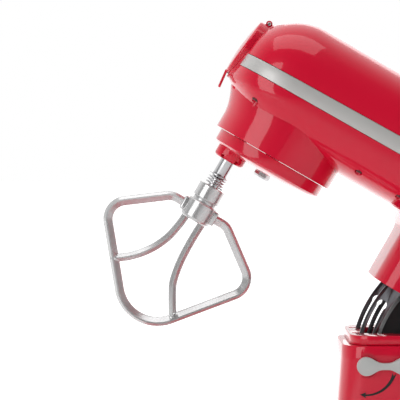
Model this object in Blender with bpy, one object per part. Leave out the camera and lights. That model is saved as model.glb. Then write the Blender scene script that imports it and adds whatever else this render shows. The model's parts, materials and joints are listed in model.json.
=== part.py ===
"""Tilt-head planetary stand mixer: every piece is its own object, in metres, +Z up.

The origin is on the floor under the beater drum's axis with the head down. The head points along -X.
Shapes are written in millimetres for the head lying level; the tilt empty then raises the head to its open stop.
"""

import bpy
import bmesh
from math import acos, asin, atan2, cos, degrees, hypot, pi, radians, sin, sqrt, tan

MM = 0.001
GAP = 0.3                    # clearance between pieces that rest on each other
RUN = 0.3                    # radial clearance of turning pieces

# Overall sizes
HEAD_TOP = 344.1             # top of the head above the floor, head down
HEAD_HALF_WIDTH = 65.0
HEAD_REAR = 289.0            # rearmost point of the head
NOSE_LENGTH = 70.2           # drum axis to the tip of the nose
UNDERSIDE = 236.8            # underside of the head behind the drum
SHELL_WALL = 3.0
SEAM = 0.3                   # open seam between shell and trim band

# Tilt hinge and its arms
PIVOT_X, PIVOT_Z = 252.8, 150.1
TILT_OPEN = 30.0             # degrees
ARM_Y, ARM_THICK = 23.0, 2.8
ARM_R, ARM_WIDTH = 103.5, 15.0
ARM_FRONT = PIVOT_X - ARM_R - ARM_WIDTH / 2
ARM_SLOT = 7.4
PIVOT_PIN_R = 6.0
LOCK_ANGLE = 3.0             # lock shaft above the pivot's level, seen from the pivot
LOCK_SHAFT_R = 3.2

# Neck and column
NECK_FRONT, NECK_REAR, NECK_BOTTOM = 130.0, 279.0, 173.5
NECK_HALF, NECK_WALL = 57.0, 3.5
REAR_CORNER = 22.0          # corner radius of column and neck at the rear
COLUMN_TOP = 172.7
COLUMN_FOOT_FRONT = 117.5
COLUMN_WALL = 4.0
COLLAR_FRONT, COLLAR_REAR, COLLAR_HALF, COLLAR_TOP = 136.5, 245.0, 52.5, 181.4
COLLAR_OPEN_X, COLLAR_OPEN_HALF = 149.0, 26.6

# Foot
FOOT_R, FOOT_REAR_R, FOOT_REAR_X = 108.0, 82.0, 211.0
FOOT_LOW, FOOT_TOP, FOOT_WALL = 6.5, 27.0, 4.0
SEAT_R, SEAT_FLOOR = 54.0, 23.0
PAD_R = 11.0

# Drum, planet gearing and spindle
DRUM_R, DRUM_WALL, DRUM_BOTTOM = 57.6, 3.6, 220.6
DISC_R = DRUM_R - DRUM_WALL - 1.3
DISC_RIM_LOW, DISC_LOW = 209.4, 203.9
RING_TEETH, PLANET_TEETH, RING_WALL = 60, 16, 6.9
TOOTH_ROOT = 1.2             # depth of a tooth below its pitch circle, in modules
PLANET_MODULE = (DRUM_R - DRUM_WALL - GAP - RING_WALL) / (RING_TEETH / 2 + TOOTH_ROOT)
GEAR_TEETH, PINION_TEETH, GEAR_MODULE = 48, 16, 1.25
SPINDLE_R, SPINDLE_TIP_R = 6.5, 5.2
CARRIER_SHAFT_R, LAYSHAFT_R, MOTOR_SHAFT_R = 7.0, 4.0, 4.0
PLANET_X = -(RING_TEETH - PLANET_TEETH) * PLANET_MODULE / 2
LAYSHAFT_X = (GEAR_TEETH + PINION_TEETH) * GEAR_MODULE / 2
PLATE_R = DRUM_R - DRUM_WALL - 4.0                      # gearbox plate, with a tongue under the layshaft
TONGUE_HALF, TONGUE_END = 20.0, LAYSHAFT_X + 17.0
PIN_Z, PIN_R, PIN_HALF = 162.9, 2.25, 9.0
SPRING_TOP, HUB_TOP = 180.0, 170.9
BOSS_ACROSS, BOSS_LOW = 28.8, 197.6

# Belt drive and motor
PULLEY_R, MOTOR_PULLEY_R, MOTOR_X = 28.0, 8.0, 205.0
BELT_LOW, BELT_WIDTH, BELT_THICK = 271.0, 8.0, 2.0
STATOR_R, ROTOR_R, STATOR_LOW, STATOR_HIGH = 36.0, 22.0, 207.0, 258.0

# Accessory hub on the nose
HUB_Z, HUB_CAP_R = 293.6, 28.0
HUB_RING_R = HUB_CAP_R + 3.0
HUB_PIN_X, HUB_PIN_Z, HUB_PIN_R = -62.5, HUB_Z + HUB_CAP_R + 0.9, 1.2

# Knob and lever on the -Y side
KNOB_X, KNOB_Z, KNOB_R = 200.0, 285.5, 14.0
LEVER_ARM, LEVER_R, LEVER_WAIST = 34.0, 8.6, 3.0
LEVER_THICK = 6.0


for leftover in list(bpy.data.objects):
    bpy.data.objects.remove(leftover, do_unlink=True)


def paint(name, rgb, roughness, metallic):
    material = bpy.data.materials.new(name)
    material.use_nodes = True
    shader = material.node_tree.nodes["Principled BSDF"]
    shader.inputs["Base Color"].default_value = (*rgb, 1.0)
    shader.inputs["Roughness"].default_value = roughness
    shader.inputs["Metallic"].default_value = metallic
    return material


RED = paint("red_enamel", (0.55, 0.004, 0.03), 0.18, 0.0)
SILVER = paint("silver_paint", (0.55, 0.54, 0.53), 0.35, 0.6)
STEEL = paint("steel", (0.60, 0.60, 0.61), 0.25, 1.0)
DARK_STEEL = paint("dark_steel", (0.10, 0.10, 0.11), 0.35, 0.9)
ALUMINIUM = paint("polished_aluminium", (0.80, 0.80, 0.80), 0.2, 1.0)
BLACK = paint("black_plastic", (0.02, 0.02, 0.02), 0.5, 0.0)
RUBBER = paint("rubber", (0.03, 0.03, 0.03), 0.8, 0.0)
BRASS = paint("brass", (0.60, 0.42, 0.15), 0.3, 1.0)
COPPER = paint("copper", (0.60, 0.25, 0.12), 0.35, 1.0)
BOARD = paint("circuit_board", (0.02, 0.18, 0.07), 0.5, 0.0)


def empty(name, x, z, y=0.0, parent=None):
    """A joint's place; what hangs on it is written relative to this point."""
    spot = bpy.data.objects.new(name, None)
    bpy.context.scene.collection.objects.link(spot)
    spot.location = (x * MM, y * MM, z * MM)
    spot["at"] = (x, y, z)
    if parent:
        spot.parent = parent
        spot.location = [(a - b) * MM for a, b in zip((x, y, z), parent["at"])]
    return spot


def solid(name, verts, faces, material, on=None):
    """A closed mesh from points in millimetres, head level, hung on a joint's empty."""
    centre = on["at"] if on else (0.0, 0.0, 0.0)
    mesh = bpy.data.meshes.new(name)
    mesh.from_pydata([[(a - b) * MM for a, b in zip(v, centre)] for v in verts], [], faces)
    bm = bmesh.new()
    bm.from_mesh(mesh)
    bmesh.ops.recalc_face_normals(bm, faces=bm.faces)
    bm.to_mesh(mesh)
    bm.free()
    mesh.materials.append(material)
    mesh.shade_smooth()
    mesh.set_sharp_from_angle(angle=radians(30))
    made = bpy.data.objects.new(name, mesh)
    bpy.context.scene.collection.objects.link(made)
    made.parent = on
    return made


def loft(name, rings, material, on=None, closed=False):
    """Skins rings of equal length; the ends are capped unless the loft closes on itself."""
    count = len(rings[0])
    verts = [p for ring in rings for p in ring]
    faces = []
    for k in range(len(rings) - (0 if closed else 1)):
        here, there = k * count, (k + 1) % len(rings) * count
        for i in range(count):
            j = (i + 1) % count
            faces.append((here + i, here + j, there + j, there + i))
    if not closed:
        faces.append(tuple(range(count)))
        faces.append(tuple(range(len(verts) - count, len(verts))))
    return solid(name, verts, faces, material, on)


def lathe(name, profile, material, on=None, x=0.0, y=0.0, steps=20, axis="Z", z=0.0):
    """Turns a closed profile of (radius, height) about a line through (x, y), or along X or Y through (x, z)."""
    rings = []
    for k in range(steps):
        c, s = cos(2 * pi * k / steps), sin(2 * pi * k / steps)
        if axis == "Z":
            rings.append([(x + r * c, y + r * s, h) for r, h in profile])
        elif axis == "Y":
            rings.append([(x + r * c, h, z + r * s) for r, h in profile])
        else:
            rings.append([(h, y + r * c, z + r * s) for r, h in profile])
    return loft(name, rings, material, on, closed=True)


def tube(name, outer, inner, low, high, material, on=None, **place):
    return lathe(name, [(inner, low), (outer, low), (outer, high), (inner, high)], material, on, **place)


def rod(name, radius, low, high, material, on=None, x=0.0, y=0.0, z=0.0, axis="Z", steps=16):
    rings = []
    for h in (low, high):
        ring = []
        for k in range(steps):
            c, s = radius * cos(2 * pi * k / steps), radius * sin(2 * pi * k / steps)
            ring.append({"Z": (x + c, y + s, h), "Y": (x + c, h, z + s), "X": (h, y + c, z + s)}[axis])
        rings.append(ring)
    return loft(name, rings, material, on)


def plate(name, outline, holes, low, high, material, on=None, axis="Z"):
    """An outline with holes, given thickness along Z from an XY outline, or along Y from an XZ outline."""
    bm = bmesh.new()
    for loop in [outline] + holes:
        points = [bm.verts.new((p[0], p[1], 0)) for p in loop]
        for a, b in zip(points, points[1:] + points[:1]):
            bm.edges.new((a, b))
    bmesh.ops.triangle_fill(bm, use_beauty=True, use_dissolve=False, edges=bm.edges)
    grown = bmesh.ops.extrude_face_region(bm, geom=bm.faces[:])
    for item in grown["geom"]:
        if isinstance(item, bmesh.types.BMVert):
            item.co.z = high - low
    bm.verts.index_update()
    if axis == "Z":
        verts = [(v.co.x, v.co.y, low + v.co.z) for v in bm.verts]
    else:
        verts = [(v.co.x, low + v.co.z, v.co.y) for v in bm.verts]
    faces = [[v.index for v in f.verts] for f in bm.faces]
    bm.free()
    return solid(name, verts, faces, material, on)


def combine(target, tool, operation):
    change = target.modifiers.new(operation.lower(), "BOOLEAN")
    change.operation = operation
    change.object = tool
    tool.hide_render = True
    tool.display_type = "WIRE"
    return target


def cut(target, *tools):
    for tool in tools:
        combine(target, tool, "DIFFERENCE")
    return target


def join(target, *tools):
    for tool in tools:
        combine(target, tool, "UNION")
    return target


def circle(x, y, radius, steps=20, phase=0.0):
    return [(x + radius * cos(2 * pi * k / steps + phase), y + radius * sin(2 * pi * k / steps + phase))
            for k in range(steps)]


def capsule(x1, r1, x2, r2, steps=16, y=0.0):
    """Two circles on a line along X and their common tangents, with x2 > x1."""
    lean = acos((r1 - r2) / (x2 - x1))
    points = []
    for k in range(steps + 1):
        a = lean + (2 * pi - 2 * lean) * k / steps
        points.append((x1 + r1 * cos(a), y + r1 * sin(a)))
    for k in range(steps + 1):
        a = -lean + 2 * lean * k / steps
        points.append((x2 + r2 * cos(a), y + r2 * sin(a)))
    return points


def rounded_box(front, rear, half, radius, steps=5, rear_radius=None):
    """A box outline with rounded corners; the front corners and the rear ones have their own radius."""
    tail = rear_radius or radius
    points = []
    for cx, cy, r, start in ((rear - tail, half - tail, tail, 0), (front + radius, half - radius, radius, 90),
                             (front + radius, radius - half, radius, 180), (rear - tail, tail - half, tail, 270)):
        for k in range(steps + 1):
            a = radians(start + 90 * k / steps)
            points.append((cx + r * cos(a), cy + r * sin(a)))
    return points


def box(name, low, high, material, on=None):
    x0, y0, z0 = low
    x1, y1, z1 = high
    ring = [(x0, y0), (x1, y0), (x1, y1), (x0, y1)]
    return loft(name, [[(x, y, z0) for x, y in ring], [(x, y, z1) for x, y in ring]], material, on)


def gear(x, y, teeth, module, phase=0.0, inside=False):
    """Straight-flanked teeth with room to run; an inside gear's teeth point to its centre."""
    pitch = teeth * module / 2
    side = -1 if inside else 1
    tip, root = pitch + side * 0.8 * module, pitch - side * TOOTH_ROOT * module
    tip_half, root_half = 0.31 * module / pitch, 1.04 * module / pitch
    points = []
    for k in range(teeth):
        a = phase + 2 * pi * k / teeth
        for r, half in ((root, -root_half), (tip, -tip_half), (tip, tip_half), (root, root_half)):
            points.append((x + r * cos(a + half), y + r * sin(a + half)))
    return points


def arc(radius, start, end, steps):
    """Points about the tilt pivot, as (x, z); angles rise from the pivot's level towards the front."""
    return [(PIVOT_X - radius * cos(radians(start + (end - start) * k / steps)),
             PIVOT_Z + radius * sin(radians(start + (end - start) * k / steps))) for k in range(steps + 1)]


# The head's outer shape, in sections across X

def half_width(x):
    if x < 0:
        return HEAD_HALF_WIDTH * (1 - (-x / NOSE_LENGTH) ** 2.6) ** (1 / 2.6)
    waist = HEAD_HALF_WIDTH - 4.0 * min(1.0, x / 250) ** 2
    if x > 200:
        waist *= (1 - ((x - 200) / (HEAD_REAR + 0.4 - 200)) ** 4) ** 0.25
    return waist


def top_height(x):
    if x < -15:
        return HEAD_TOP - 55 + 55 * sqrt(max(0.0, 1 - ((x + 15) / 55) ** 2))
    if x > 230:
        return HEAD_TOP - 50 + 50 * sqrt(max(0.0, 1 - ((x - 230) / (HEAD_REAR + 0.4 - 230)) ** 2))
    return HEAD_TOP


def bottom_height(x):
    if x < 0:
        return UNDERSIDE + 26.2 * (x / 70) ** 2
    if x > 250:
        return UNDERSIDE + 22 * ((x - 250) / (HEAD_REAR - 250)) ** 2
    return UNDERSIDE


def band_low(x):
    return 277.3 + 0.008 * (x + 65)


def band_high(x):
    return 289.4 + 0.0187 * (x + 65)


def arch(x, half, foot, crown, power, steps):
    """Half an oval from +Y over its crown to -Y, standing on its foot's height."""
    points = []
    for k in range(steps + 1):
        c, s = cos(pi * k / steps), sin(pi * k / steps)
        side = abs(c) ** (2 / power) * (1 if c >= 0 else -1)
        points.append((x, half * side, foot + (crown - foot) * abs(s) ** (2 / power)))
    return points


def stations(front, rear, count):
    """Places along X, closer together towards both rounded ends."""
    middle, reach = (front + rear) / 2, (rear - front) / 2
    return [middle - reach * cos(pi * k / (count - 1)) for k in range(count)]


def shell_section(x, upper, steps=14):
    foot = band_high(x) + SEAM if upper else band_low(x) - SEAM
    crown = top_height(x) if upper else bottom_height(x)
    inward = -SHELL_WALL if upper else SHELL_WALL
    power = 2.35 if upper else 2.5
    outer = arch(x, half_width(x), foot, crown, power, steps)
    inner = arch(x, max(2.0, half_width(x) - SHELL_WALL), foot, crown + inward, power, steps)
    return outer + inner[::-1]


# ---- joint places -------------------------------------------------------------------------------

tilt = empty("tilt_axis", PIVOT_X, PIVOT_Z)
carrier_axis = empty("carrier_axis", 0, DISC_LOW, parent=tilt)
spindle_axis = empty("spindle_axis", PLANET_X, PIN_Z, parent=carrier_axis)
beater_axis = empty("beater_axis", PLANET_X, HUB_TOP, parent=spindle_axis)
layshaft_axis = empty("layshaft_axis", LAYSHAFT_X, BELT_LOW, parent=tilt)
motor_axis = empty("motor_axis", MOTOR_X, BELT_LOW, parent=tilt)
hub_hinge = empty("hub_hinge", HUB_PIN_X, HUB_PIN_Z, parent=tilt)
knob_axis = empty("knob_axis", KNOB_X, KNOB_Z, parent=tilt)
LOCK_X = PIVOT_X - ARM_R * cos(radians(LOCK_ANGLE))
LOCK_Z = PIVOT_Z + ARM_R * sin(radians(LOCK_ANGLE))
lock_axis = empty("lock_axis", LOCK_X, LOCK_Z)
tilt.rotation_euler = (0, radians(TILT_OPEN), 0)


# ---- base ---------------------------------------------------------------------------------------

def foot_ring(z, inset):
    return [(x, y, z) for x, y in capsule(0, FOOT_R - inset, FOOT_REAR_X, FOOT_REAR_R - inset)]


def column_front(z):
    return COLUMN_FOOT_FRONT + (NECK_FRONT - COLUMN_FOOT_FRONT) * ((z - FOOT_TOP) / (COLUMN_TOP - FOOT_TOP)) ** 0.8


def column_ring(z, inset, flare=0.0):
    outline = rounded_box(column_front(max(z, FOOT_TOP)) + inset - flare, NECK_REAR - inset, NECK_HALF - inset,
                          26 - inset / 2, rear_radius=REAR_CORNER - inset / 2)
    return [(x, y, z) for x, y in outline]


base_housing = loft("base_housing", [foot_ring(z, inset) for z, inset in
                                     ((FOOT_LOW, 2), (FOOT_LOW + 3, 0), (FOOT_TOP - 8, 0), (FOOT_TOP - 3, 2.5),
                                      (FOOT_TOP, 8))], RED)
column = loft("column_shape", [column_ring(FOOT_TOP - 5, 0, 22), column_ring(FOOT_TOP + 4, 0, 12),
                               column_ring(FOOT_TOP + 12, 0, 6), column_ring(FOOT_TOP + 28, 0, 0)]
              + [column_ring(z, 0) for z in (80, 110, 140)] + [column_ring(COLUMN_TOP, 0)], RED)
foot_hollow = loft("foot_hollow", [foot_ring(z, FOOT_WALL) for z in (0, 19)], RED)
column_hollow = loft("column_hollow", [column_ring(z, COLUMN_WALL) for z in (0, 30, 80, 120, 157)], RED)
ROOF_REAR = 254.0
roof_hollow = loft("roof_hollow", [[(x, y, z) for x, y in rounded_box(NECK_FRONT + COLUMN_WALL, ROOF_REAR,
                   NECK_HALF - COLUMN_WALL, 24)] for z in (150, COLUMN_TOP - COLUMN_WALL)], RED)
arm_opening = box("arm_opening", (ARM_FRONT - 2.3, -27.2, 100), (NECK_REAR - 3.6, 27.2, 200), RED)
BEVEL_X = 258.6
BEVEL_DROP = 0.5774
bevel_tool = plate("bevel_tool", [(BEVEL_X, COLUMN_TOP + 0.1), (300, COLUMN_TOP - (300 - BEVEL_X) * BEVEL_DROP),
                                  (300, 200), (BEVEL_X, 200)], [], -80, 80, RED, axis="Y")
seat_recess = rod("seat_recess", SEAT_R, SEAT_FLOOR, 40, RED, steps=36)
lock_hole = rod("lock_hole", LOCK_SHAFT_R + 0.5, -70, -45, RED, x=LOCK_X, z=LOCK_Z, axis="Y")
GLAND_Z, GLAND_R = 48.0, 6.5
gland_hole = rod("gland_hole", GLAND_R + GAP, 260, 300, RED, z=GLAND_Z, axis="X")
join(base_housing, column)
cut(base_housing, foot_hollow, column_hollow, roof_hollow, arm_opening, bevel_tool, seat_recess, lock_hole, gland_hole)

plate("base_plate", capsule(0, FOOT_R - FOOT_WALL - GAP, FOOT_REAR_X, FOOT_REAR_R - FOOT_WALL - GAP), [],
      6.3, 8.8, BLACK)
for number, (x, y) in enumerate(((0, 0), (-62, 58), (-62, -58), (240, 38), (240, -38)), 1):
    lathe(f"rubber_foot_{number}", [(0.01, 0), (PAD_R - 1, 0), (PAD_R, 1.5), (PAD_R - 2, 6.0), (0.01, 6.0)],
          RUBBER, x=x, y=y, steps=20)

seat = plate("bowl_seat", circle(0, 0, SEAT_R - GAP, 36), [circle(0, 0, 20, 24)], SEAT_FLOOR + GAP,
             SEAT_FLOOR + 3.0, STEEL)
for turn in range(3):
    a = 2 * pi * turn / 3 + pi / 6
    slot = rod(f"seat_slot_{turn}", 6, SEAT_FLOOR - 1, SEAT_FLOOR + 9, STEEL, x=42 * cos(a), y=42 * sin(a), steps=12)
    cut(seat, slot)

collar = plate("column_collar", rounded_box(COLLAR_FRONT, COLLAR_REAR, COLLAR_HALF, 21, rear_radius=4), [],
               COLUMN_TOP + GAP, COLLAR_TOP, RED)
cut(collar, box("collar_opening", (COLLAR_OPEN_X, -COLLAR_OPEN_HALF, 160), (300, COLLAR_OPEN_HALF, 200), RED))
for side in (-1, 1):
    cut(collar, box(f"collar_slot_{side}", (min(ARM_FRONT - 1.6, COLLAR_OPEN_X), side * ARM_Y - 2.4, 160),
                    (COLLAR_OPEN_X + 6, side * ARM_Y + 2.4, 200), RED))

rod("pivot_pin", PIVOT_PIN_R, -50, 50, STEEL, x=PIVOT_X, z=PIVOT_Z, axis="Y")
for side, name in ((-1, "pivot_block_left"), (1, "pivot_block_right")):
    low, high = sorted((side * 28.0, side * (NECK_HALF - COLUMN_WALL - 2.0)))
    plate(name, [(x, z + PIVOT_Z - 8) for x, z in rounded_box(PIVOT_X - 19, PIVOT_X + 9.5, 14, 4, steps=3)],
          [circle(PIVOT_X, PIVOT_Z, PIVOT_PIN_R + GAP)], low, high, DARK_STEEL, axis="Y")
lathe("cable_gland", [(4.0, 270), (GLAND_R, 270), (GLAND_R, NECK_REAR + GAP), (GLAND_R + 4, NECK_REAR + GAP),
                      (GLAND_R + 3, NECK_REAR + 3), (5.0, NECK_REAR + 6), (4.0, NECK_REAR + 6)],
      RUBBER, z=GLAND_Z, axis="X", steps=24)


# ---- tilt lock ----------------------------------------------------------------------------------

LEVER_Y = -NECK_HALF - 0.6
LEVER_BLEND = 14.5           # from a lobe's centre to where the slim waist begins
rod("lock_shaft", LOCK_SHAFT_R, LEVER_Y + GAP, ARM_Y + 4, STEEL, lock_axis, x=LOCK_X, z=LOCK_Z, axis="Y")


def dumbbell(x, z):
    """Two round lobes and a slim waist, from the pivot lobe at (x, z) towards the rear."""
    upper = []
    for k in range(25):
        u = -LEVER_R + (LEVER_ARM + 2 * LEVER_R) * (1 - cos(pi * k / 24)) / 2
        near = min(abs(u), abs(u - LEVER_ARM))
        lobe = sqrt(max(0.0, LEVER_R ** 2 - near ** 2))
        blend = LEVER_WAIST + (LEVER_R - LEVER_WAIST) * cos(pi / 2 * min(1.0, near / LEVER_BLEND)) ** 2
        upper.append((u, max(lobe, blend) if 0 < u < LEVER_ARM else lobe))
    return [(x + u, z + h) for u, h in upper] + [(x + u, z - h) for u, h in upper[-2:0:-1]]


plate("lock_lever", dumbbell(LOCK_X, LOCK_Z), [], LEVER_Y - LEVER_THICK, LEVER_Y, SILVER, lock_axis, axis="Y")


# ---- head shells --------------------------------------------------------------------------------

SHELL_REAR = HEAD_REAR - 1.0
hub_bore = rod("hub_bore", HUB_RING_R + GAP, -90, -44, RED, tilt, z=HUB_Z, axis="X", steps=40)
upper_shell = loft("head_upper_shell", [shell_section(x, True) for x in stations(-70, SHELL_REAR, 19)], RED, tilt)


def rear_plug(name, upper):
    """Closes the shell's rear end, inside its skin."""
    rings = []
    for x in (SHELL_REAR - 4, SHELL_REAR - 2, SHELL_REAR + 0.2):
        foot = band_high(x) + SEAM + 0.4 if upper else band_low(x) - SEAM - 0.4
        crown = top_height(x) - 1.2 if upper else bottom_height(x) + 1.2
        rings.append(arch(x, half_width(x) - 1.2, foot, crown, 2.35 if upper else 2.5, 14))
    return loft(name, rings, RED, tilt)


join(upper_shell, rear_plug("upper_rear_plug", True))
cut(upper_shell, hub_bore)

lower_housing = loft("head_lower_housing", [shell_section(x, False) for x in stations(-70, SHELL_REAR, 19)],
                     RED, tilt)


def drum_ring(z, flare):
    points = []
    for x, y in circle(0, 0, 1, 36):
        reach = DRUM_R + flare * max(0.0, -x) ** 2
        points.append((x * reach, y * reach, z))
    return points


drum = loft("drum_shape", [drum_ring(z, f) for z, f in ((DRUM_BOTTOM, 0), (234, 0), (241, 0.7), (248.5, 2.8),
                                                       (254, 5.2), (258, 7.3), (262, 7.3))], RED, tilt)
drum_hollow = rod("drum_hollow", DRUM_R - DRUM_WALL, 200, 263, RED, tilt, steps=36)
FILLET = 19.4


def neck_ring(z, inset):
    """The neck's outline at a height: its front flares into the head's underside, its top draws in under the head."""
    rise = max(0.0, min(FILLET, z - inset - (UNDERSIDE - FILLET)))
    flare = FILLET - sqrt(FILLET ** 2 - rise ** 2)
    draw = 0 if inset else max(0.0, (z - 235) / 27)
    rear = NECK_REAR - inset - 14 * max(0.0, (z - 200) / 62) ** 2
    outline = rounded_box(NECK_FRONT + inset - flare, rear, NECK_HALF - inset - 3 * draw, 26 - inset / 2,
                          rear_radius=REAR_CORNER - inset / 2)
    return [(x, y, z) for x, y in outline]


neck = loft("neck_shape", [neck_ring(z, 0) for z in (NECK_BOTTOM, 195, 217.4, 224, 229, 233, 235.5, 238, 248, 262)],
            RED, tilt)
neck_hollow = loft("neck_hollow", [neck_ring(z, NECK_WALL) for z in (160, 200, 220, 228, 234, 238, 240.4, 250, 264)],
                   RED, tilt)
join(lower_housing, drum, neck, rear_plug("lower_rear_plug", False))
drum_gap = box("drum_gap", (LAYSHAFT_X - 6.7, -TONGUE_HALF - 1.3, UNDERSIDE + SHELL_WALL + 1.7),
               (TONGUE_END + 6, TONGUE_HALF + 1.3, 270), RED, tilt)
throat = box("throat", (104, -31, UNDERSIDE + 5), (135, 31, 270), RED, tilt)
cut(lower_housing, drum_hollow, neck_hollow, hub_bore, drum_gap, throat)
for change in lower_housing.modifiers:
    change.solver = "MANIFOLD"


def band_rings():
    """A bright strip down one side, round the rear and back: a flat bar that follows the head's widest line."""
    places = stations(-69.5, HEAD_REAR, 20)
    path = [(x, half_width(x)) for x in places] + [(x, -half_width(x)) for x in places[::-1]]
    rings = []
    for i, (x, y) in enumerate(path):
        before, after = path[max(i - 1, 0)], path[min(i + 1, len(path) - 1)]
        tx, ty = after[0] - before[0], after[1] - before[1]
        inward = SHELL_WALL / hypot(tx, ty)
        inner_x, inner_y = x + ty * inward, y - tx * inward
        rings.append([(x, y, band_low(x)), (x, y, band_high(x)), (inner_x, inner_y, band_high(x)),
                      (inner_x, inner_y, band_low(x))])
    return rings


trim_band = loft("trim_band", band_rings(), SILVER, tilt)
knob_hole = rod("knob_hole", 3.4, -90, -50, SILVER, tilt, x=KNOB_X, z=KNOB_Z, axis="Y")
cut(trim_band, hub_bore, knob_hole)


# ---- accessory hub ------------------------------------------------------------------------------

def slanted(x, slope, radius, dome=0.0, steps=28):
    """A ring about the hub's axis, lying in a plane that leans back at its top."""
    return [(x + slope * radius * sin(2 * pi * k / steps) + dome, radius * cos(2 * pi * k / steps),
             HUB_Z + radius * sin(2 * pi * k / steps)) for k in range(steps)]


RING_SLOPE, CAP_SLOPE = 0.218, 0.105
hub_ring = loft("hub_ring", [slanted(-50, 0, HUB_RING_R), slanted(-65.6, RING_SLOPE, HUB_RING_R),
                             slanted(-65.9, RING_SLOPE, HUB_CAP_R + 1.4), slanted(-50, 0, HUB_CAP_R + 1.4)],
                RED, tilt, closed=True)
hub_cover = loft("hub_cover", [slanted(-62.5, RING_SLOPE, HUB_CAP_R), slanted(-71.2, CAP_SLOPE, HUB_CAP_R),
                               slanted(-72.9, CAP_SLOPE, HUB_CAP_R - 1.6), slanted(-74.4, CAP_SLOPE, 14),
                               slanted(-74.9, CAP_SLOPE, 3)], RED, hub_hinge)
join(hub_cover, box("hub_tab", (-77.0, -7, HUB_Z - HUB_CAP_R - 14.6), (-73.9, 7, HUB_Z - HUB_CAP_R + 4.4), RED,
                    hub_hinge))
ear_hole = rod("ear_hole", HUB_PIN_R + RUN, -20, 20, RED, tilt, x=HUB_PIN_X, z=HUB_PIN_Z, axis="Y", steps=12)
cover_cavity = loft("cover_cavity", [slanted(-50, RING_SLOPE, 20), slanted(-69.5, CAP_SLOPE, 20)], RED, hub_hinge)
cut(hub_cover, cover_cavity)
cut(hub_ring, box("hub_notch", (-90, -6, HUB_PIN_Z - 7.5), (-52, 6, HUB_PIN_Z + 17.5), RED, tilt))
hub_ear = rod("hub_ear", 2.9, -5.4, 5.4, RED, hub_hinge, x=HUB_PIN_X, z=HUB_PIN_Z, axis="Y", steps=16)
join(hub_cover, hub_ear, box("hub_ear_root", (-68, -5.4, HUB_PIN_Z - 5.5), (HUB_PIN_X, 5.4, HUB_PIN_Z + 2.0), RED, hub_hinge))
cut(hub_cover, ear_hole)
cut(hub_ring, ear_hole)
rod("hub_cover_pin", HUB_PIN_R, -8.2, 8.2, STEEL, hub_hinge, x=HUB_PIN_X, z=HUB_PIN_Z, axis="Y", steps=12)
lathe("hub_socket", [(8.0, -58), (17.0, -58), (17.0, -48), (HUB_CAP_R - 0.5, -48),
                     (HUB_CAP_R - 0.5, -44.5), (8.0, -44.5)], STEEL, tilt,
      z=HUB_Z, axis="X")


# ---- tilt arms, shroud and neck insert ----------------------------------------------------------

ARM_IN, ARM_OUT = ARM_R - ARM_WIDTH / 2, ARM_R + ARM_WIDTH / 2
SLOT_TOP = LOCK_ANGLE
SLOT_LOW = LOCK_ANGLE - TILT_OPEN
SECTOR_LOW, SECTOR_TOP = SLOT_LOW - 7, 19.0
BAR_LOW, BAR_HIGH = 188.0, 198.0
EYE_R = 12.0
sector = arc(ARM_OUT, SECTOR_LOW, SECTOR_TOP, 16)
inner_sector = arc(ARM_IN, SECTOR_TOP, SECTOR_LOW, 16)
eye = [(PIVOT_X + EYE_R * cos(radians(a)), PIVOT_Z + EYE_R * sin(radians(a))) for a in range(150, 391, 20)]
arm_outline = (sector + [(sector[-1][0], BAR_HIGH), (PIVOT_X + 8, BAR_HIGH), (PIVOT_X + 10, BAR_HIGH - 4)]
               + eye[::-1] + [(PIVOT_X - 9, BAR_LOW), (inner_sector[0][0] + 3, BAR_LOW)] + inner_sector)
slot_outer = arc(ARM_R + ARM_SLOT / 2, SLOT_LOW, SLOT_TOP, 12)
slot_inner = arc(ARM_R - ARM_SLOT / 2, SLOT_TOP, SLOT_LOW, 12)
for side, name in ((-1, "tilt_arm_left"), (1, "tilt_arm_right")):
    middle = side * ARM_Y
    arm = plate(name, arm_outline, [circle(PIVOT_X, PIVOT_Z, PIVOT_PIN_R + RUN, 24)], middle - ARM_THICK / 2,
                middle + ARM_THICK / 2, DARK_STEEL, tilt, axis="Y")
    channel = plate(name + "_slot", slot_outer + slot_inner, [], middle - 5, middle + 5, DARK_STEEL, tilt, axis="Y")
    cut(arm, channel)
    for angle, radius in ((SLOT_TOP, 4.6), (SLOT_LOW, ARM_SLOT / 2)):
        cx, cz = arc(ARM_R, angle, angle, 1)[0]
        cut(arm, rod(f"{name}_end_{radius}", radius, middle - 6, middle + 6, DARK_STEEL, tilt, x=cx, z=cz, axis="Y"))

INSERT_LOW = 184.0
SHROUD_HALF, SHROUD_WALL, SHROUD_LOW = 19.0, 2.5, -22.0
SHROUD_R = ARM_R - 11.5
SHROUD_INNER_R = SHROUD_R - 26


def shroud_shape(name, outer, inner, rise, half):
    """A block between two arcs about the pivot, flat on top just under the neck insert."""
    top = INSERT_LOW - 1.2 - PIVOT_Z + rise
    angles = [degrees(asin(top / radius)) for radius in (outer, inner)]
    return plate(name, arc(outer, SHROUD_LOW - rise, angles[0], 14) + arc(inner, angles[1], SHROUD_LOW - rise, 14), [],
                 -half, half, BLACK, tilt, axis="Y")


cut(shroud_shape("hinge_shroud", SHROUD_R, SHROUD_INNER_R, 0, SHROUD_HALF),
    shroud_shape("shroud_pocket", SHROUD_R - 2 * SHROUD_WALL, SHROUD_INNER_R - 5, 3, SHROUD_HALF - SHROUD_WALL))
insert = plate("neck_insert", rounded_box(NECK_FRONT + NECK_WALL + 1, 222, NECK_HALF - NECK_WALL - 1, 21), [],
               INSERT_LOW, INSERT_LOW + 3, BLACK, tilt)
for side in (-1, 1):
    cut(insert, box(f"insert_slot_{side}", (138, side * ARM_Y - 2, 150), (232, side * ARM_Y + 2, 220), BLACK, tilt))
join(insert, box("insert_lip", (ARM_FRONT + 8.7, -18.5, 170.5), (ARM_FRONT + 14.2, 18.5, INSERT_LOW + 1.5), BLACK, tilt))


# ---- gear drive ---------------------------------------------------------------------------------

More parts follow.
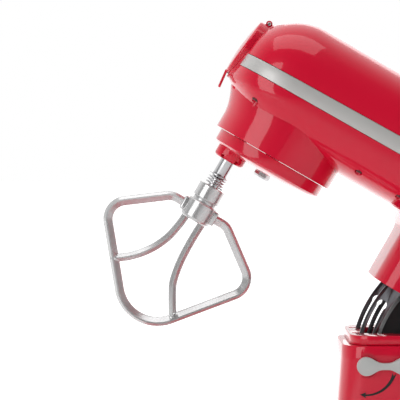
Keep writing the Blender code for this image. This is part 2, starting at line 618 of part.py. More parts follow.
plate("ring_gear", circle(0, 0, DRUM_R - DRUM_WALL - GAP, 40),
      [gear(0, 0, RING_TEETH, PLANET_MODULE, pi / RING_TEETH, inside=True)], 224, 232, STEEL, tilt)
PLATE_LOW, PLATE_HIGH = 242.0, 245.2
BEARING_R, SMALL_BEARING_R = 13.0, 8.0
tongue = asin(TONGUE_HALF / PLATE_R)
plate_outline = [(PLATE_R * cos(tongue + (2 * pi - 2 * tongue) * k / 36), PLATE_R * sin(tongue + (2 * pi - 2 * tongue)
                 * k / 36)) for k in range(37)] + [(TONGUE_END, -TONGUE_HALF), (TONGUE_END, TONGUE_HALF)]
plate("gearbox_plate", plate_outline, [circle(0, 0, BEARING_R + GAP), circle(LAYSHAFT_X, 0, SMALL_BEARING_R + GAP)],
      PLATE_LOW, PLATE_HIGH, ALUMINIUM, tilt)
tube("carrier_bearing", BEARING_R, CARRIER_SHAFT_R + RUN, PLATE_LOW, PLATE_HIGH, STEEL, tilt)
tube("layshaft_bearing", SMALL_BEARING_R, LAYSHAFT_R + RUN, PLATE_LOW, PLATE_HIGH, STEEL, tilt, x=LAYSHAFT_X)
BRIDGE_LOW, BRIDGE_HIGH = 258.0, 261.0
POST_R = 4.0
POST_Y = GEAR_TEETH * GEAR_MODULE / 2 + 0.8 * GEAR_MODULE + POST_R + 3.0      # clear of the drive gear's teeth
bridge = plate("gear_bridge", capsule(0, 14, LAYSHAFT_X, 13),
               [circle(0, 0, CARRIER_SHAFT_R + RUN), circle(LAYSHAFT_X, 0, LAYSHAFT_R + RUN, 24)],
               BRIDGE_LOW, BRIDGE_HIGH, ALUMINIUM, tilt)
for side in (-1, 1):
    low, high = sorted((side * 10.0, side * (POST_Y + 5)))
    join(bridge, box(f"bridge_arm_{side}", (-5, low, BRIDGE_LOW + 0.2), (5, high, BRIDGE_HIGH - 0.2), ALUMINIUM, tilt),
         rod(f"bridge_post_{side}", POST_R, PLATE_HIGH + GAP, BRIDGE_HIGH - 1, ALUMINIUM, tilt, y=side * POST_Y))

disc = lathe("planetary_disc", [(4.3, DISC_LOW), (14, DISC_LOW), (32, DISC_LOW + 1.4), (46, DISC_LOW + 3.6),
                                (DISC_R - 1.2, DISC_RIM_LOW), (DISC_R, DISC_RIM_LOW + 1.2),
                                (DISC_R, DRUM_BOTTOM - 0.4), (CARRIER_SHAFT_R + RUN, DRUM_BOTTOM - 0.4),
                                (CARRIER_SHAFT_R + RUN, 212), (4.3, 212)], RED, carrier_axis, steps=36)
boss = loft("boss_shape", [[(x, y, z) for x, y in circle(PLANET_X, 0, r, 12, pi / 12)] for z, r in
                           ((BOSS_LOW, BOSS_ACROSS / 2 - 1.6), (BOSS_LOW + 2, BOSS_ACROSS / 2),
                            (DISC_LOW + 8, BOSS_ACROSS / 2))], RED, carrier_axis)
join(disc, boss)
cut(disc, rod("spindle_hole", SPINDLE_R + RUN + 0.1, 190, 230, RED, carrier_axis, x=PLANET_X))
rod("carrier_shaft", CARRIER_SHAFT_R, 212.4, 264, STEEL, carrier_axis)
plate("drive_gear", gear(0, 0, GEAR_TEETH, GEAR_MODULE), [circle(0, 0, CARRIER_SHAFT_R + GAP)], 246, 254, STEEL,
      carrier_axis)
lathe("carrier_bolt", [(0.01, DISC_LOW - 4.5), (6.5, DISC_LOW - 4.5), (7.5, DISC_LOW - 3), (7.5, DISC_LOW - GAP),
                       (3.9, DISC_LOW - GAP), (3.9, 211.5), (0.01, 211.5)], STEEL, carrier_axis, steps=6)

spindle = lathe("beater_spindle", [(0.01, 149.5), (SPINDLE_TIP_R - 1, 149.5), (SPINDLE_TIP_R, 151),
                                   (SPINDLE_TIP_R, SPRING_TOP - 0.4), (SPINDLE_R, SPRING_TOP + 0.6),
                                   (SPINDLE_R, 233), (0.01, 233)], STEEL, spindle_axis, x=PLANET_X)
cut(spindle, rod("pin_hole", PIN_R + 0.15, -20, 20, STEEL, spindle_axis, x=PLANET_X, z=PIN_Z, axis="Y", steps=16))
rod("cross_pin", PIN_R, -PIN_HALF, PIN_HALF, STEEL, spindle_axis, x=PLANET_X, z=PIN_Z, axis="Y", steps=16)
plate("planet_pinion", gear(PLANET_X, 0, PLANET_TEETH, PLANET_MODULE), [circle(PLANET_X, 0, SPINDLE_R + GAP)],
      224.4, 231.6, STEEL, spindle_axis)
tube("spring_washer", 9.2, SPINDLE_R + GAP, SPRING_TOP + 1.2, SPRING_TOP + 2.4, STEEL, spindle_axis, x=PLANET_X)
WIRE, COIL_R, COIL_TURNS, COIL_STEPS = 0.7, 7.9, 3.0, 12
coil = []
for k in range(int(COIL_TURNS * COIL_STEPS) + 1):
    a = 2 * pi * k / COIL_STEPS
    z = HUB_TOP + WIRE + 0.4 + (SPRING_TOP - HUB_TOP - 2 * WIRE) * k / (COIL_TURNS * COIL_STEPS)
    coil.append([(PLANET_X + (COIL_R + WIRE * cos(b)) * cos(a), (COIL_R + WIRE * cos(b)) * sin(a), z + WIRE * sin(b))
                 for b in (2 * pi * i / 5 for i in range(5))])
loft("beater_spring", coil, STEEL, spindle_axis)


# ---- flat beater --------------------------------------------------------------------------------

def smooth(points, steps):
    """A Catmull-Rom curve through points."""
    made = []
    last = len(points) - 1
    for i in range(last):
        near = points[max(i - 1, 0)], points[i], points[i + 1], points[min(i + 2, last)]
        for s in range(steps):
            t = s / steps
            made.append(tuple(0.5 * (2 * b + (c - a) * t + (2 * a - 5 * b + 4 * c - d) * t * t
                                     + (3 * b - a - 3 * c + d) * t ** 3) for a, b, c, d in zip(*near)))
    return made + [tuple(points[-1])]


def swept(name, path, section, material, on):
    """A bar of the given section along a path in the XZ plane."""
    rings = []
    for i, (x, z) in enumerate(path):
        before, after = path[max(i - 1, 0)], path[min(i + 1, len(path) - 1)]
        tx, tz = after[0] - before[0], after[1] - before[1]
        length = hypot(tx, tz)
        nx, nz = tz / length, -tx / length
        rings.append([(x + u * nx, y, z + u * nz) for u, y in section])
    return loft(name, rings, material, on)


def rounded_path(corners, step):
    """Straight runs between corners of (x, z, fillet radius), with an arc at each inner corner."""
    made = [corners[0][:2]]
    for (ax, az, _), (bx, bz, radius), (cx, cz, _) in zip(corners, corners[1:], corners[2:]):
        start, end = atan2(bz - az, bx - ax), atan2(cz - bz, cx - bx)
        turn = (end - start + pi) % (2 * pi) - pi
        bend = radius if turn > 0 else -radius
        reach = bend * tan(turn / 2)
        px, pz = bx - reach * cos(start), bz - reach * sin(start)
        count = max(2, round(abs(turn) / step))
        for k in range(count + 1):
            a = start + turn * k / count
            made.append((px + bend * (sin(a) - sin(start)), pz + bend * (cos(start) - cos(a))))
    return made + [corners[-1][:2]]


# Half the rim, from inside the hub's wall over shoulder and flank to the middle of its foot, about the beater's axis
BEATER_HALF, SHOULDER_Z, FLANK_Z, FOOT_Z, BEATER_FLOOR = 77.0, 146.3, 109.6, 15.6, 144.8
RIM = ((9.5, SHOULDER_Z, 0), (28.1, SHOULDER_Z, 14), (BEATER_HALF, FLANK_Z, 16.7))
rim_corners = ([(PLANET_X + x, z, r) for x, z, r in RIM] + [(PLANET_X, FOOT_Z, 35)]
               + [(PLANET_X - x, z, r) for x, z, r in RIM[::-1]])
RIM_SECTION = ((-4.2, -1.6), (-4.2, 1.6), (-1.2, 5.4), (4.3, 1.0), (4.3, -1.0), (-1.2, -5.4))
RIB_SECTION = ((3.6, 1.0), (0, 4.1), (-3.6, 1.0), (-3.6, -1.0), (0, -4.1), (3.6, -1.0))
beater = lathe("flat_beater", [(SPINDLE_TIP_R + 0.4, BEATER_FLOOR), (SPINDLE_TIP_R + 0.4, HUB_TOP), (11.7, HUB_TOP),
                               (12.5, HUB_TOP - 0.9), (12.5, 157.6), (11, 156.6), (11, 154.6), (14, 153.4), (14, 138),
                               (12.4, 136), (0.01, 136), (0.01, BEATER_FLOOR)], ALUMINIUM, beater_axis, x=PLANET_X)
join(beater, swept("rim_shape", rounded_path(rim_corners, radians(16)), RIM_SECTION, ALUMINIUM, beater_axis))
for side, points in ((-1, ((-8.2, 140), (-9.4, 126), (-13.1, 109.8), (-21, 94), (-33, 80), (-48, 68.6))),
                     (1, ((8.2, 140), (7.4, 120), (8.2, 98), (11.4, 80), (16.1, 69.6), (27, 51)))):
    rib = smooth([(PLANET_X + x, z) for x, z in points], 3)
    low, high = sorted((PLANET_X + side * 10.0, PLANET_X + side * 17.2))
    join(beater, swept(f"rib_shape_{side}", rib, RIB_SECTION, ALUMINIUM, beater_axis),
         box(f"hub_lug_{side}", (low, -5.8, 139.6), (high, 5.8, 152.6), ALUMINIUM, beater_axis))
cut(beater, box("bayonet_slot", (PLANET_X - 2.7, -PIN_HALF - 1, 155.6), (PLANET_X + 2.7, PIN_HALF + 1, 180),
                ALUMINIUM, beater_axis))


# ---- layshaft, belt and motor -------------------------------------------------------------------

rod("layshaft", LAYSHAFT_R, 240, BELT_LOW + BELT_WIDTH + 3, STEEL, layshaft_axis, x=LAYSHAFT_X)
plate("layshaft_pinion", gear(LAYSHAFT_X, 0, PINION_TEETH, GEAR_MODULE, pi / PINION_TEETH),
      [circle(LAYSHAFT_X, 0, LAYSHAFT_R + GAP, 20)], 245.6, 255, BRASS, layshaft_axis)


def pulley(name, radius, bore, x, on):
    rise = 1.2
    return lathe(name, [(bore + GAP, BELT_LOW - 2), (radius + rise, BELT_LOW - 2), (radius + rise, BELT_LOW - 0.8),
                        (radius, BELT_LOW - 0.8), (radius, BELT_LOW + BELT_WIDTH + 0.8),
                        (radius + rise, BELT_LOW + BELT_WIDTH + 0.8), (radius + rise, BELT_LOW + BELT_WIDTH + 2),
                        (bore + GAP, BELT_LOW + BELT_WIDTH + 2)], BLACK, on, x=x, steps=24)


pulley("layshaft_pulley", PULLEY_R, LAYSHAFT_R, LAYSHAFT_X, layshaft_axis)
pulley("motor_pulley", MOTOR_PULLEY_R, MOTOR_SHAFT_R, MOTOR_X, motor_axis)
plate("drive_belt", capsule(LAYSHAFT_X, PULLEY_R + GAP + BELT_THICK, MOTOR_X, MOTOR_PULLEY_R + GAP + BELT_THICK),
      [capsule(LAYSHAFT_X, PULLEY_R + GAP, MOTOR_X, MOTOR_PULLEY_R + GAP)], BELT_LOW, BELT_LOW + BELT_WIDTH,
      RUBBER, tilt)
rod("motor_shaft", MOTOR_SHAFT_R, 198.8, BELT_LOW + BELT_WIDTH + 3, STEEL, motor_axis, x=MOTOR_X)


def lobed(x, outer, inner, lobes, share, phase=0.0):
    """A circle with square notches: rotor slots, stator poles or fan blades."""
    points = []
    for k in range(lobes):
        a = phase + 2 * pi * k / lobes
        half = pi * share / lobes
        for r, turn in ((inner, -half), (outer, -half), (outer, 0), (outer, half), (inner, half)):
            points.append((x + r * cos(a + turn), r * sin(a + turn)))
    return points


plate("motor_rotor", lobed(MOTOR_X, ROTOR_R, ROTOR_R - 5, 12, 0.7), [circle(MOTOR_X, 0, MOTOR_SHAFT_R + GAP, 20)],
      STATOR_LOW + 2, STATOR_HIGH - 2, COPPER, motor_axis)
plate("motor_stator", circle(MOTOR_X, 0, STATOR_R, 40), [lobed(MOTOR_X, ROTOR_R + 9, ROTOR_R + 1, 6, 0.5)],
      STATOR_LOW, STATOR_HIGH, DARK_STEEL, tilt)
plate("cooling_fan", lobed(MOTOR_X, 30, 13, 9, 0.45), [circle(MOTOR_X, 0, MOTOR_SHAFT_R + GAP, 20)], 260.4, 266,
      BLACK, motor_axis)
plate("motor_mount", rounded_box(MOTOR_X - 40, MOTOR_X + 40, 48, 8), [circle(MOTOR_X, 0, 9 + GAP)], 200.5, 204,
      ALUMINIUM, tilt)
tube("motor_bush", 9, MOTOR_SHAFT_R + RUN, 200.5, 206, BRASS, tilt, x=MOTOR_X)
board = box("speed_board", (88, -28, 258), (146, 28, 259.6), BOARD, tilt)
join(board, box("board_chip", (96, -20, 259), (112, -6, 264), BLACK, tilt),
     box("board_sink", (118, -14, 259), (138, 10, 267), BLACK, tilt),
     rod("board_cap", 6, 259, 266, BLACK, tilt, x=103, y=12))
switch = box("speed_switch", (KNOB_X - 12, -52, KNOB_Z - 7), (KNOB_X + 12, -42, KNOB_Z + 9), BLACK, tilt)
cut(switch, rod("switch_hole", 3.4, -60, -46, BLACK, tilt, x=KNOB_X, z=KNOB_Z, axis="Y", steps=16))

KNOB_Y = -HEAD_HALF_WIDTH - 0.6
knob = lathe("speed_knob", [(0.01, KNOB_Y), (KNOB_R, KNOB_Y), (KNOB_R, KNOB_Y - 3), (KNOB_R - 2, KNOB_Y - 4),
                            (KNOB_R - 3, KNOB_Y - 13), (KNOB_R - 4.5, KNOB_Y - 14.5), (0.01, KNOB_Y - 14.5)],
             BLACK, knob_axis, x=KNOB_X, z=KNOB_Z, axis="Y", steps=24)
join(knob, rod("knob_stem", 3.0, KNOB_Y - 2, -47, BLACK, knob_axis, x=KNOB_X, z=KNOB_Z, axis="Y", steps=16))
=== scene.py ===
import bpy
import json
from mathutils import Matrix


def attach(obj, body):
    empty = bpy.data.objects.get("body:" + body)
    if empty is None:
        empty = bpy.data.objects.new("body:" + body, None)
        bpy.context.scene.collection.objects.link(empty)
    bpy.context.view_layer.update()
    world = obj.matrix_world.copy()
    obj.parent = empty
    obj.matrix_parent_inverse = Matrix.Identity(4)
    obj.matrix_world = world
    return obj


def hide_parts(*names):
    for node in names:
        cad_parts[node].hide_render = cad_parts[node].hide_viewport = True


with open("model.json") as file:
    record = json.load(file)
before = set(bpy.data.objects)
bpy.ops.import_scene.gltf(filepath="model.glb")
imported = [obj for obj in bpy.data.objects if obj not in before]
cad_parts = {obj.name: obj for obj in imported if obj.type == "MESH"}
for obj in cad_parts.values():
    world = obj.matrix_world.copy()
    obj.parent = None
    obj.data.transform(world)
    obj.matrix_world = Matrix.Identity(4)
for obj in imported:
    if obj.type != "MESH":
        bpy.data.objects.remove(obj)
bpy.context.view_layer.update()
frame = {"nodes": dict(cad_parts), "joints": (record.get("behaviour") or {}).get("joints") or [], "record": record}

# ---- Camera and studio ---------------------------------------------------------------------------
# A long lens looks level at the mixer's left side, from a little above the raised beater.
# A white room stands behind the mixer; the room in front is darker, so that the enamel shows its softboxes.

import json
from math import acos, asin, atan2, cos, degrees, hypot, pi, radians, sin, sqrt, tan

import bmesh
import bpy
from mathutils import Matrix, Vector

MM = 0.001
eye, target = Vector((-0.0078, -1.98, 0.3846)), Vector((0.00395, 0.0, 0.29905))
camera_data = bpy.data.cameras.new("studio_camera")
camera_data.lens = 198
camera_data.sensor_width = 36
camera = bpy.data.objects.new("studio_camera", camera_data)
camera.location = eye
camera.rotation_euler = (target - eye).to_track_quat("-Z", "Y").to_euler()
bpy.context.scene.collection.objects.link(camera)
bpy.context.scene.camera = camera
bpy.context.scene.view_settings.view_transform = "Standard"


def softbox(name, place, aim, width, height, watts):
    light = bpy.data.lights.new(name, "AREA")
    light.shape = "RECTANGLE"
    light.size, light.size_y = width, height
    light.energy = watts
    lamp = bpy.data.objects.new(name, light)
    lamp.location = place
    lamp.rotation_euler = (Vector(aim) - Vector(place)).to_track_quat("-Z", "Y").to_euler()
    bpy.context.scene.collection.objects.link(lamp)


softbox("key_softbox", (-1.5, -1.5, 0.85), (0.05, 0, 0.3), 1.3, 1.3, 17)
softbox("side_softbox", (1.9, -1.4, 0.6), (0.1, 0, 0.3), 0.7, 1.2, 6)
softbox("top_softbox", (0.0, -0.3, 1.9), (0.1, 0, 0.3), 1.8, 1.2, 13)
softbox("back_softbox", (0.6, 1.6, 1.0), (0.1, 0, 0.3), 1.2, 1.0, 5)


class Value:
    """A number in a shader, so that its maths can be written as an expression."""

    def __init__(self, tree, socket):
        self.tree, self.socket = tree, socket

    def maths(self, operation, first, second):
        node = self.tree.nodes.new("ShaderNodeMath")
        node.operation = operation
        for slot, item in zip(node.inputs, (first, second)):
            if isinstance(item, Value):
                self.tree.links.new(item.socket, slot)
            else:
                slot.default_value = item
        return Value(self.tree, node.outputs[0])

    def __add__(self, other):
        return self.maths("ADD", self, other)

    def __mul__(self, other):
        return self.maths("MULTIPLY", self, other)

    __radd__, __rmul__ = __add__, __mul__


class Finish:
    """A procedural finish: a Principled surface and the nodes that vary it."""

    def __init__(self, name, colour, roughness, metallic=0.0, **sockets):
        self.material = bpy.data.materials.new(name)
        self.material.use_nodes = True
        self.tree = self.material.node_tree
        self.surface = self.tree.nodes["Principled BSDF"]
        self.colour = colour
        self.set("Base Color", (*colour, 1))
        self.set("Roughness", roughness)
        self.set("Metallic", metallic)
        for label, value in sockets.items():
            self.set(label.replace("_", " "), value)
        self.material.diffuse_color = (*colour, 1)

    def set(self, label, value):
        if isinstance(value, Value):
            self.tree.links.new(value.socket, self.surface.inputs[label])
        else:
            self.surface.inputs[label].default_value = value

    def node(self, kind, settings=(), output=0, **inputs):
        node = self.tree.nodes.new("ShaderNode" + kind)
        for label, value in dict(settings).items():
            setattr(node, label, value)
        for label, value in inputs.items():
            slot = node.inputs[int(label[1:]) if label[1:].isdigit() else label.replace("_", " ")]
            if isinstance(value, Value):
                self.tree.links.new(value.socket, slot)
            else:
                slot.default_value = value
        return Value(self.tree, node.outputs[output])

    def noise(self, scale, detail=3.0, stretch=(1, 1, 1)):
        """Noise in the object's own place, with its size in metres."""
        place = self.node("TexCoord", output="Object")
        spread = self.node("Mapping", Vector=place, Scale=stretch)
        return self.node("TexNoise", output="Fac", Vector=spread, Scale=scale, Detail=detail)

    def mixed(self, mask, first, second):
        """The first colour where the mask is 0, the second where it is 1."""
        return self.node("Mix", {"data_type": "RGBA"}, output=2, i0=mask, i6=(*first, 1), i7=(*second, 1))

    def tint(self, mask, other):
        """The base colour shifts towards another where the mask is 1."""
        self.set("Base Color", self.mixed(mask, self.colour, other))

    def bump(self, height, distance, strength=1.0):
        self.set("Normal", self.node("Bump", Height=height, Distance=distance, Strength=strength))


FLOOR_DARK_Y, FLOOR_BRIGHT_Y = -0.2, 0.8     # the floor glows behind the mixer and fades out in front of it
FLOOR_HALF = 9
backdrop = Finish("studio_floor", (0.93, 0.93, 0.93), 0.9, Emission_Strength=0.85)
backdrop.set("Roughness", 0.85 + 0.1 * backdrop.noise(3.0))
floor_y = backdrop.node("SeparateXYZ", output=1, Vector=backdrop.node("TexCoord", output="Object"))
glow = backdrop.node("MapRange", output=0, i0=floor_y, i1=FLOOR_DARK_Y, i2=FLOOR_BRIGHT_Y)
backdrop.set("Emission Color", backdrop.mixed(glow, (0.02, 0.02, 0.02), (1, 1, 1)))
floor_mesh = bpy.data.meshes.new("studio_floor")
floor_corners = [(x * FLOOR_HALF, y * FLOOR_HALF, 0) for x, y in ((-1, -1), (1, -1), (1, 1), (-1, 1))]
floor_mesh.from_pydata(floor_corners, [], [(0, 1, 2, 3)])
floor_mesh.materials.append(backdrop.material)
floor = bpy.data.objects.new("studio_floor", floor_mesh)
bpy.context.scene.collection.objects.link(floor)

room = bpy.data.worlds.new("studio_room")
room.use_nodes = True
sky = room.node_tree.nodes["Background"]
way = room.node_tree.nodes.new("ShaderNodeTexCoord")
split = room.node_tree.nodes.new("ShaderNodeSeparateXYZ")
ramp = room.node_tree.nodes.new("ShaderNodeValToRGB")
half = room.node_tree.nodes.new("ShaderNodeMapRange")
half.inputs["From Min"].default_value = -1.0
ramp.color_ramp.elements[0].position, ramp.color_ramp.elements[0].color = 0.34, (0.10, 0.10, 0.10, 1)
ramp.color_ramp.elements[1].position, ramp.color_ramp.elements[1].color = 0.72, (1, 1, 1, 1)
for source, end in ((way.outputs["Generated"], split.inputs[0]), (split.outputs["Y"], half.inputs["Value"]),
                    (half.outputs[0], ramp.inputs[0]), (ramp.outputs[0], sky.inputs["Color"])):
    room.node_tree.links.new(source, end)
sky.inputs["Strength"].default_value = 1.0
bpy.context.scene.world = room

# ---- Head shells ---------------------------------------------------------------------------------
# The head is two die-cast zinc shells, enamelled red, that meet at a bright band. The upper one is a plain
# dome. The lower one carries the drum, the curved underside and the hollow neck. Recessed screws hold them.

joint_at = {joint["name"]: Vector(joint.get("pos_m", (0, 0, 0))) for joint in frame["joints"]}
PIVOT = joint_at["head_tilt"]
PIVOT_X, PIVOT_Z = PIVOT.x / MM, PIVOT.z / MM
TILT_OPEN = 30.0
RAISED = Matrix.Translation(PIVOT) @ Matrix.Rotation(radians(TILT_OPEN), 4, "Y") @ Matrix.Translation(-PIVOT)
GAP, RUN = 0.3, 0.3
HEAD_TOP, HEAD_HALF_WIDTH, HEAD_REAR, NOSE_LENGTH, UNDERSIDE = 344.1, 65.0, 289.0, 70.2, 236.8
SHELL_WALL, SEAM = 3.0, 0.3
NECK_FRONT, NECK_REAR, NECK_BOTTOM, NECK_HALF, NECK_WALL, REAR_CORNER = 130.0, 279.0, 173.5, 57.0, 3.5, 22.0
DRUM_R, DRUM_WALL, DRUM_BOTTOM, FILLET = 57.6, 3.6, 220.6, 19.4
HUB_Z, HUB_CAP_R, HUB_RING_R = 293.6, 28.0, 31.0

enamel = Finish("red_enamel", (0.68, 0.003, 0.031), 0.35, Coat_Weight=0.9, Coat_Roughness=0.05, Coat_IOR=1.42,
                Specular_IOR_Level=0.15)
enamel.tint(enamel.noise(14.0, 2.0) * 0.2, (0.47, 0.002, 0.022))
enamel.set("Roughness", 0.32 + 0.08 * enamel.noise(60.0))
enamel.bump(enamel.noise(650.0, 1.0), 0.00002, 0.25)


def piece(name, verts, faces, finish, raised=False, shade=35):
    """A closed mesh from points in millimetres; raised pieces are written for the level head."""
    mesh = bpy.data.meshes.new(name)
    mesh.from_pydata([[a * MM for a in v] for v in verts], [], faces)
    bm = bmesh.new()
    bm.from_mesh(mesh)
    bmesh.ops.recalc_face_normals(bm, faces=bm.faces)
    bm.to_mesh(mesh)
    bm.free()
    if raised:
        mesh.transform(RAISED)
    mesh.materials.append(finish.material)
    mesh.shade_smooth()
    mesh.set_sharp_from_angle(angle=radians(shade))
    made = bpy.data.objects.new(name, mesh)
    bpy.context.scene.collection.objects.link(made)
    return made


def loft(name, rings, finish, raised=False, closed=False, shade=35):
    count = len(rings[0])
    faces = []
    for k in range(len(rings) - (0 if closed else 1)):
        here, there = k * count, (k + 1) % len(rings) * count
        for i in range(count):
            j = (i + 1) % count
            faces.append((here + i, here + j, there + j, there + i))
    if not closed:
        faces.append(tuple(range(count)))
        faces.append(tuple(range((len(rings) - 1) * count, len(rings) * count)))
    return piece(name, [p for ring in rings for p in ring], faces, finish, raised, shade)


def rod(name, radius, low, high, finish, raised=False, x=0.0, y=0.0, z=0.0, axis="Z", steps=64):
    rings = []
    for h in (low, high):
        ring = []
        for k in range(steps):
            c, s = radius * cos(2 * pi * k / steps), radius * sin(2 * pi * k / steps)
            ring.append({"Z": (x + c, y + s, h), "Y": (x + c, h, z + s), "X": (h, y + c, z + s)}[axis])
        rings.append(ring)
    return loft(name, rings, finish, raised)


def box(name, low, high, finish, raised=False):
    x0, y0, z0 = low
    x1, y1, z1 = high
    ring = [(x0, y0), (x1, y0), (x1, y1), (x0, y1)]
    return loft(name, [[(x, y, z0) for x, y in ring], [(x, y, z1) for x, y in ring]], finish, raised)


def shape(target, tools, operation, solver="EXACT"):
    """Cuts or joins other solids, keeps the result as a plain mesh and drops the tools."""
    for tool in tools:
        change = target.modifiers.new("change", "BOOLEAN")
        change.operation, change.solver, change.object = operation, solver, tool
    bpy.context.view_layer.update()
    done = bpy.data.meshes.new_from_object(target.evaluated_get(bpy.context.evaluated_depsgraph_get()))
    target.modifiers.clear()
    target.data = done
    for tool in tools:
        bpy.data.objects.remove(tool)
    return target


def smooth_edges(target, width, segments=3, angle=35):
    """Rounds the hard edges by a width in millimetres."""
    change = target.modifiers.new("rounded", "BEVEL")
    change.width, change.segments = width * MM, segments
    change.limit_method, change.angle_limit = "ANGLE", radians(angle)
    change.harden_normals = True
    bpy.context.view_layer.update()
    done = bpy.data.meshes.new_from_object(target.evaluated_get(bpy.context.evaluated_depsgraph_get()))
    target.modifiers.clear()
    target.data = done
    return target


def settle(made, body, node, shade=35):
    """Hands a finished piece to its body, in place of its CAD node."""
    made.data.shade_smooth()
    made.data.set_sharp_from_angle(angle=radians(shade))
    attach(made, body)
    if node:
        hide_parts(node)
    return made


NOSE_POWER, UPPER_POWER, LOWER_POWER = 2.6, 2.35, 2.5      # how square the rounded sections are


def half_width(x):
    if x < 0:
        return HEAD_HALF_WIDTH * (1 - (-x / NOSE_LENGTH) ** NOSE_POWER) ** (1 / NOSE_POWER)
    waist = HEAD_HALF_WIDTH - 4.0 * min(1.0, x / 250) ** 2
    if x > 200:
        waist *= (1 - ((x - 200) / (HEAD_REAR + 0.4 - 200)) ** 4) ** 0.25
    return waist


def top_height(x):
    if x < -15:
        return HEAD_TOP - 55 + 55 * sqrt(max(0.0, 1 - ((x + 15) / 55) ** 2))
    if x > 230:
        return HEAD_TOP - 50 + 50 * sqrt(max(0.0, 1 - ((x - 230) / (HEAD_REAR + 0.4 - 230)) ** 2))
    return HEAD_TOP


def bottom_height(x):
    if x < 0:
        return UNDERSIDE + 26.2 * (x / 70) ** 2
    if x > 250:
        return UNDERSIDE + 22 * ((x - 250) / (HEAD_REAR - 250)) ** 2
    return UNDERSIDE


def band_low(x):
    return 277.3 + 0.008 * (x + 65)


def band_high(x):
    return 289.4 + 0.0187 * (x + 65)


def arch(x, half, foot, crown, power, steps):
    points = []
    for k in range(steps + 1):
        c, s = cos(pi * k / steps), sin(pi * k / steps)
        side = abs(c) ** (2 / power) * (1 if c >= 0 else -1)
        points.append((x, half * side, foot + (crown - foot) * abs(s) ** (2 / power)))
    return points


def stations(front, rear, count):
    middle, reach = (front + rear) / 2, (rear - front) / 2
    return [middle - reach * cos(pi * k / (count - 1)) for k in range(count)]


def shell_section(x, upper, steps=56):
    foot = band_high(x) + SEAM if upper else band_low(x) - SEAM
    crown = top_height(x) if upper else bottom_height(x)
    power = UPPER_POWER if upper else LOWER_POWER
    wall = SHELL_WALL if upper else -SHELL_WALL
    outer = arch(x, half_width(x), foot, crown, power, steps)
    inner = arch(x, max(2.0, half_width(x) - SHELL_WALL), foot, crown - wall, power, steps)
    return outer + inner[::-1]


SHELL_REAR = HEAD_REAR - 1.0


def rear_plug(name, upper):
    rings = []
    for x in (SHELL_REAR - 4, SHELL_REAR - 2, SHELL_REAR + 0.2):
        foot = band_high(x) + SEAM + 0.4 if upper else band_low(x) - SEAM - 0.4
        crown = top_height(x) - 1.2 if upper else bottom_height(x) + 1.2
        rings.append(arch(x, half_width(x) - 1.2, foot, crown, UPPER_POWER if upper else LOWER_POWER, 56))
    return loft(name, rings, enamel, True)


def hub_bore():
    return rod("hub_bore", HUB_RING_R + GAP, -90, -44, enamel, True, z=HUB_Z, axis="X", steps=96)


upper = loft("upper_shell", [shell_section(x, True) for x in stations(-70, SHELL_REAR, 84)], enamel, True)
shape(upper, [rear_plug("rear_plug", True)], "UNION", "MANIFOLD")
shape(upper, [hub_bore()], "DIFFERENCE", "MANIFOLD")
settle(upper, "head", "head_upper_shell", 40)

lower = loft("lower_shell", [shell_section(x, False) for x in stations(-70, SHELL_REAR, 84)], enamel, True)


def drum_ring(z, flare):
    points = []
    for k in range(120):
        c, s = cos(2 * pi * k / 120), sin(2 * pi * k / 120)
        reach = DRUM_R + flare * max(0.0, -c) ** 2
        points.append((c * reach, s * reach, z))
    return points


def rounded_box(front, rear, half, radius, rear_radius, steps=14):
    points = []
    for cx, cy, r, start in ((rear - rear_radius, half - rear_radius, rear_radius, 0),
                             (front + radius, half - radius, radius, 90),
                             (front + radius, radius - half, radius, 180),
                             (rear - rear_radius, rear_radius - half, rear_radius, 270)):
        for k in range(steps + 1):
            a = radians(start + 90 * k / steps)
            points.append((cx + r * cos(a), cy + r * sin(a)))
    return points


def neck_ring(z, inset):
    rise = max(0.0, min(FILLET, z - inset - (UNDERSIDE - FILLET)))
    flare = FILLET - sqrt(FILLET ** 2 - rise ** 2)
    draw = 0 if inset else max(0.0, (z - 235) / 27)
    rear = NECK_REAR - inset - 14 * max(0.0, (z - 200) / 62) ** 2
    return [(x, y, z) for x, y in rounded_box(NECK_FRONT + inset - flare, rear, NECK_HALF - inset - 3 * draw,
                                              26 - inset / 2, REAR_CORNER - inset / 2)]


flare_curve = [(z, 7.3 * min(1.0, max(0.0, (z - 234) / 24)) ** 1.7) for z in range(234, 262, 2)]
drum_edge = [(DRUM_BOTTOM, -0.3), (DRUM_BOTTOM + 0.1, -0.1), (DRUM_BOTTOM + 0.3, 0)]
drum = loft("drum", [drum_ring(z, flare) for z, flare in drum_edge + flare_curve], enamel, True)
neck_heights = [NECK_BOTTOM, 195, 217.4]
neck_heights += [UNDERSIDE - FILLET + FILLET * sin(pi * k / 24) for k in range(1, 12)]
neck = loft("neck", [neck_ring(z, 0) for z in neck_heights + [236.75, 238, 248, 262]], enamel, True)
HOLLOW_HEIGHTS = (160, 200, 220, 228, 234, 238, 240.2, 250, 264)
hollow = loft("neck_hollow", [neck_ring(z, NECK_WALL) for z in HOLLOW_HEIGHTS], enamel, True)
SCREW_INSET = 0.985          # each screw sits this share of the way out from the middle
screw_places = []
for x, z in ((70.0, 247.0), (-40.0, 256.0), (112.0, 246.0)):
    depth = (band_low(x) - z) / (band_low(x) - bottom_height(x))
    reach = half_width(x) * (1 - depth ** 2.5) ** 0.4
    screw_places += [(x, -reach, z), (x, reach, z)]
tools = [rod("drum_hollow", DRUM_R - DRUM_WALL, 200, 263, enamel, True, steps=96), hollow, hub_bore(),
         box("drum_gap", (33.3, -21.3, UNDERSIDE + 4.7), (63, 21.3, 270), enamel, True),
         box("throat", (104, -31, UNDERSIDE + 5), (135, 31, 270), enamel, True)]
for number, (x, y, z) in enumerate(screw_places):
    tools.append(rod(f"screw_well_{number}", 3.5, z - 12, z + 2.0, enamel, True, x=x, y=y * SCREW_INSET,
                     steps=32))
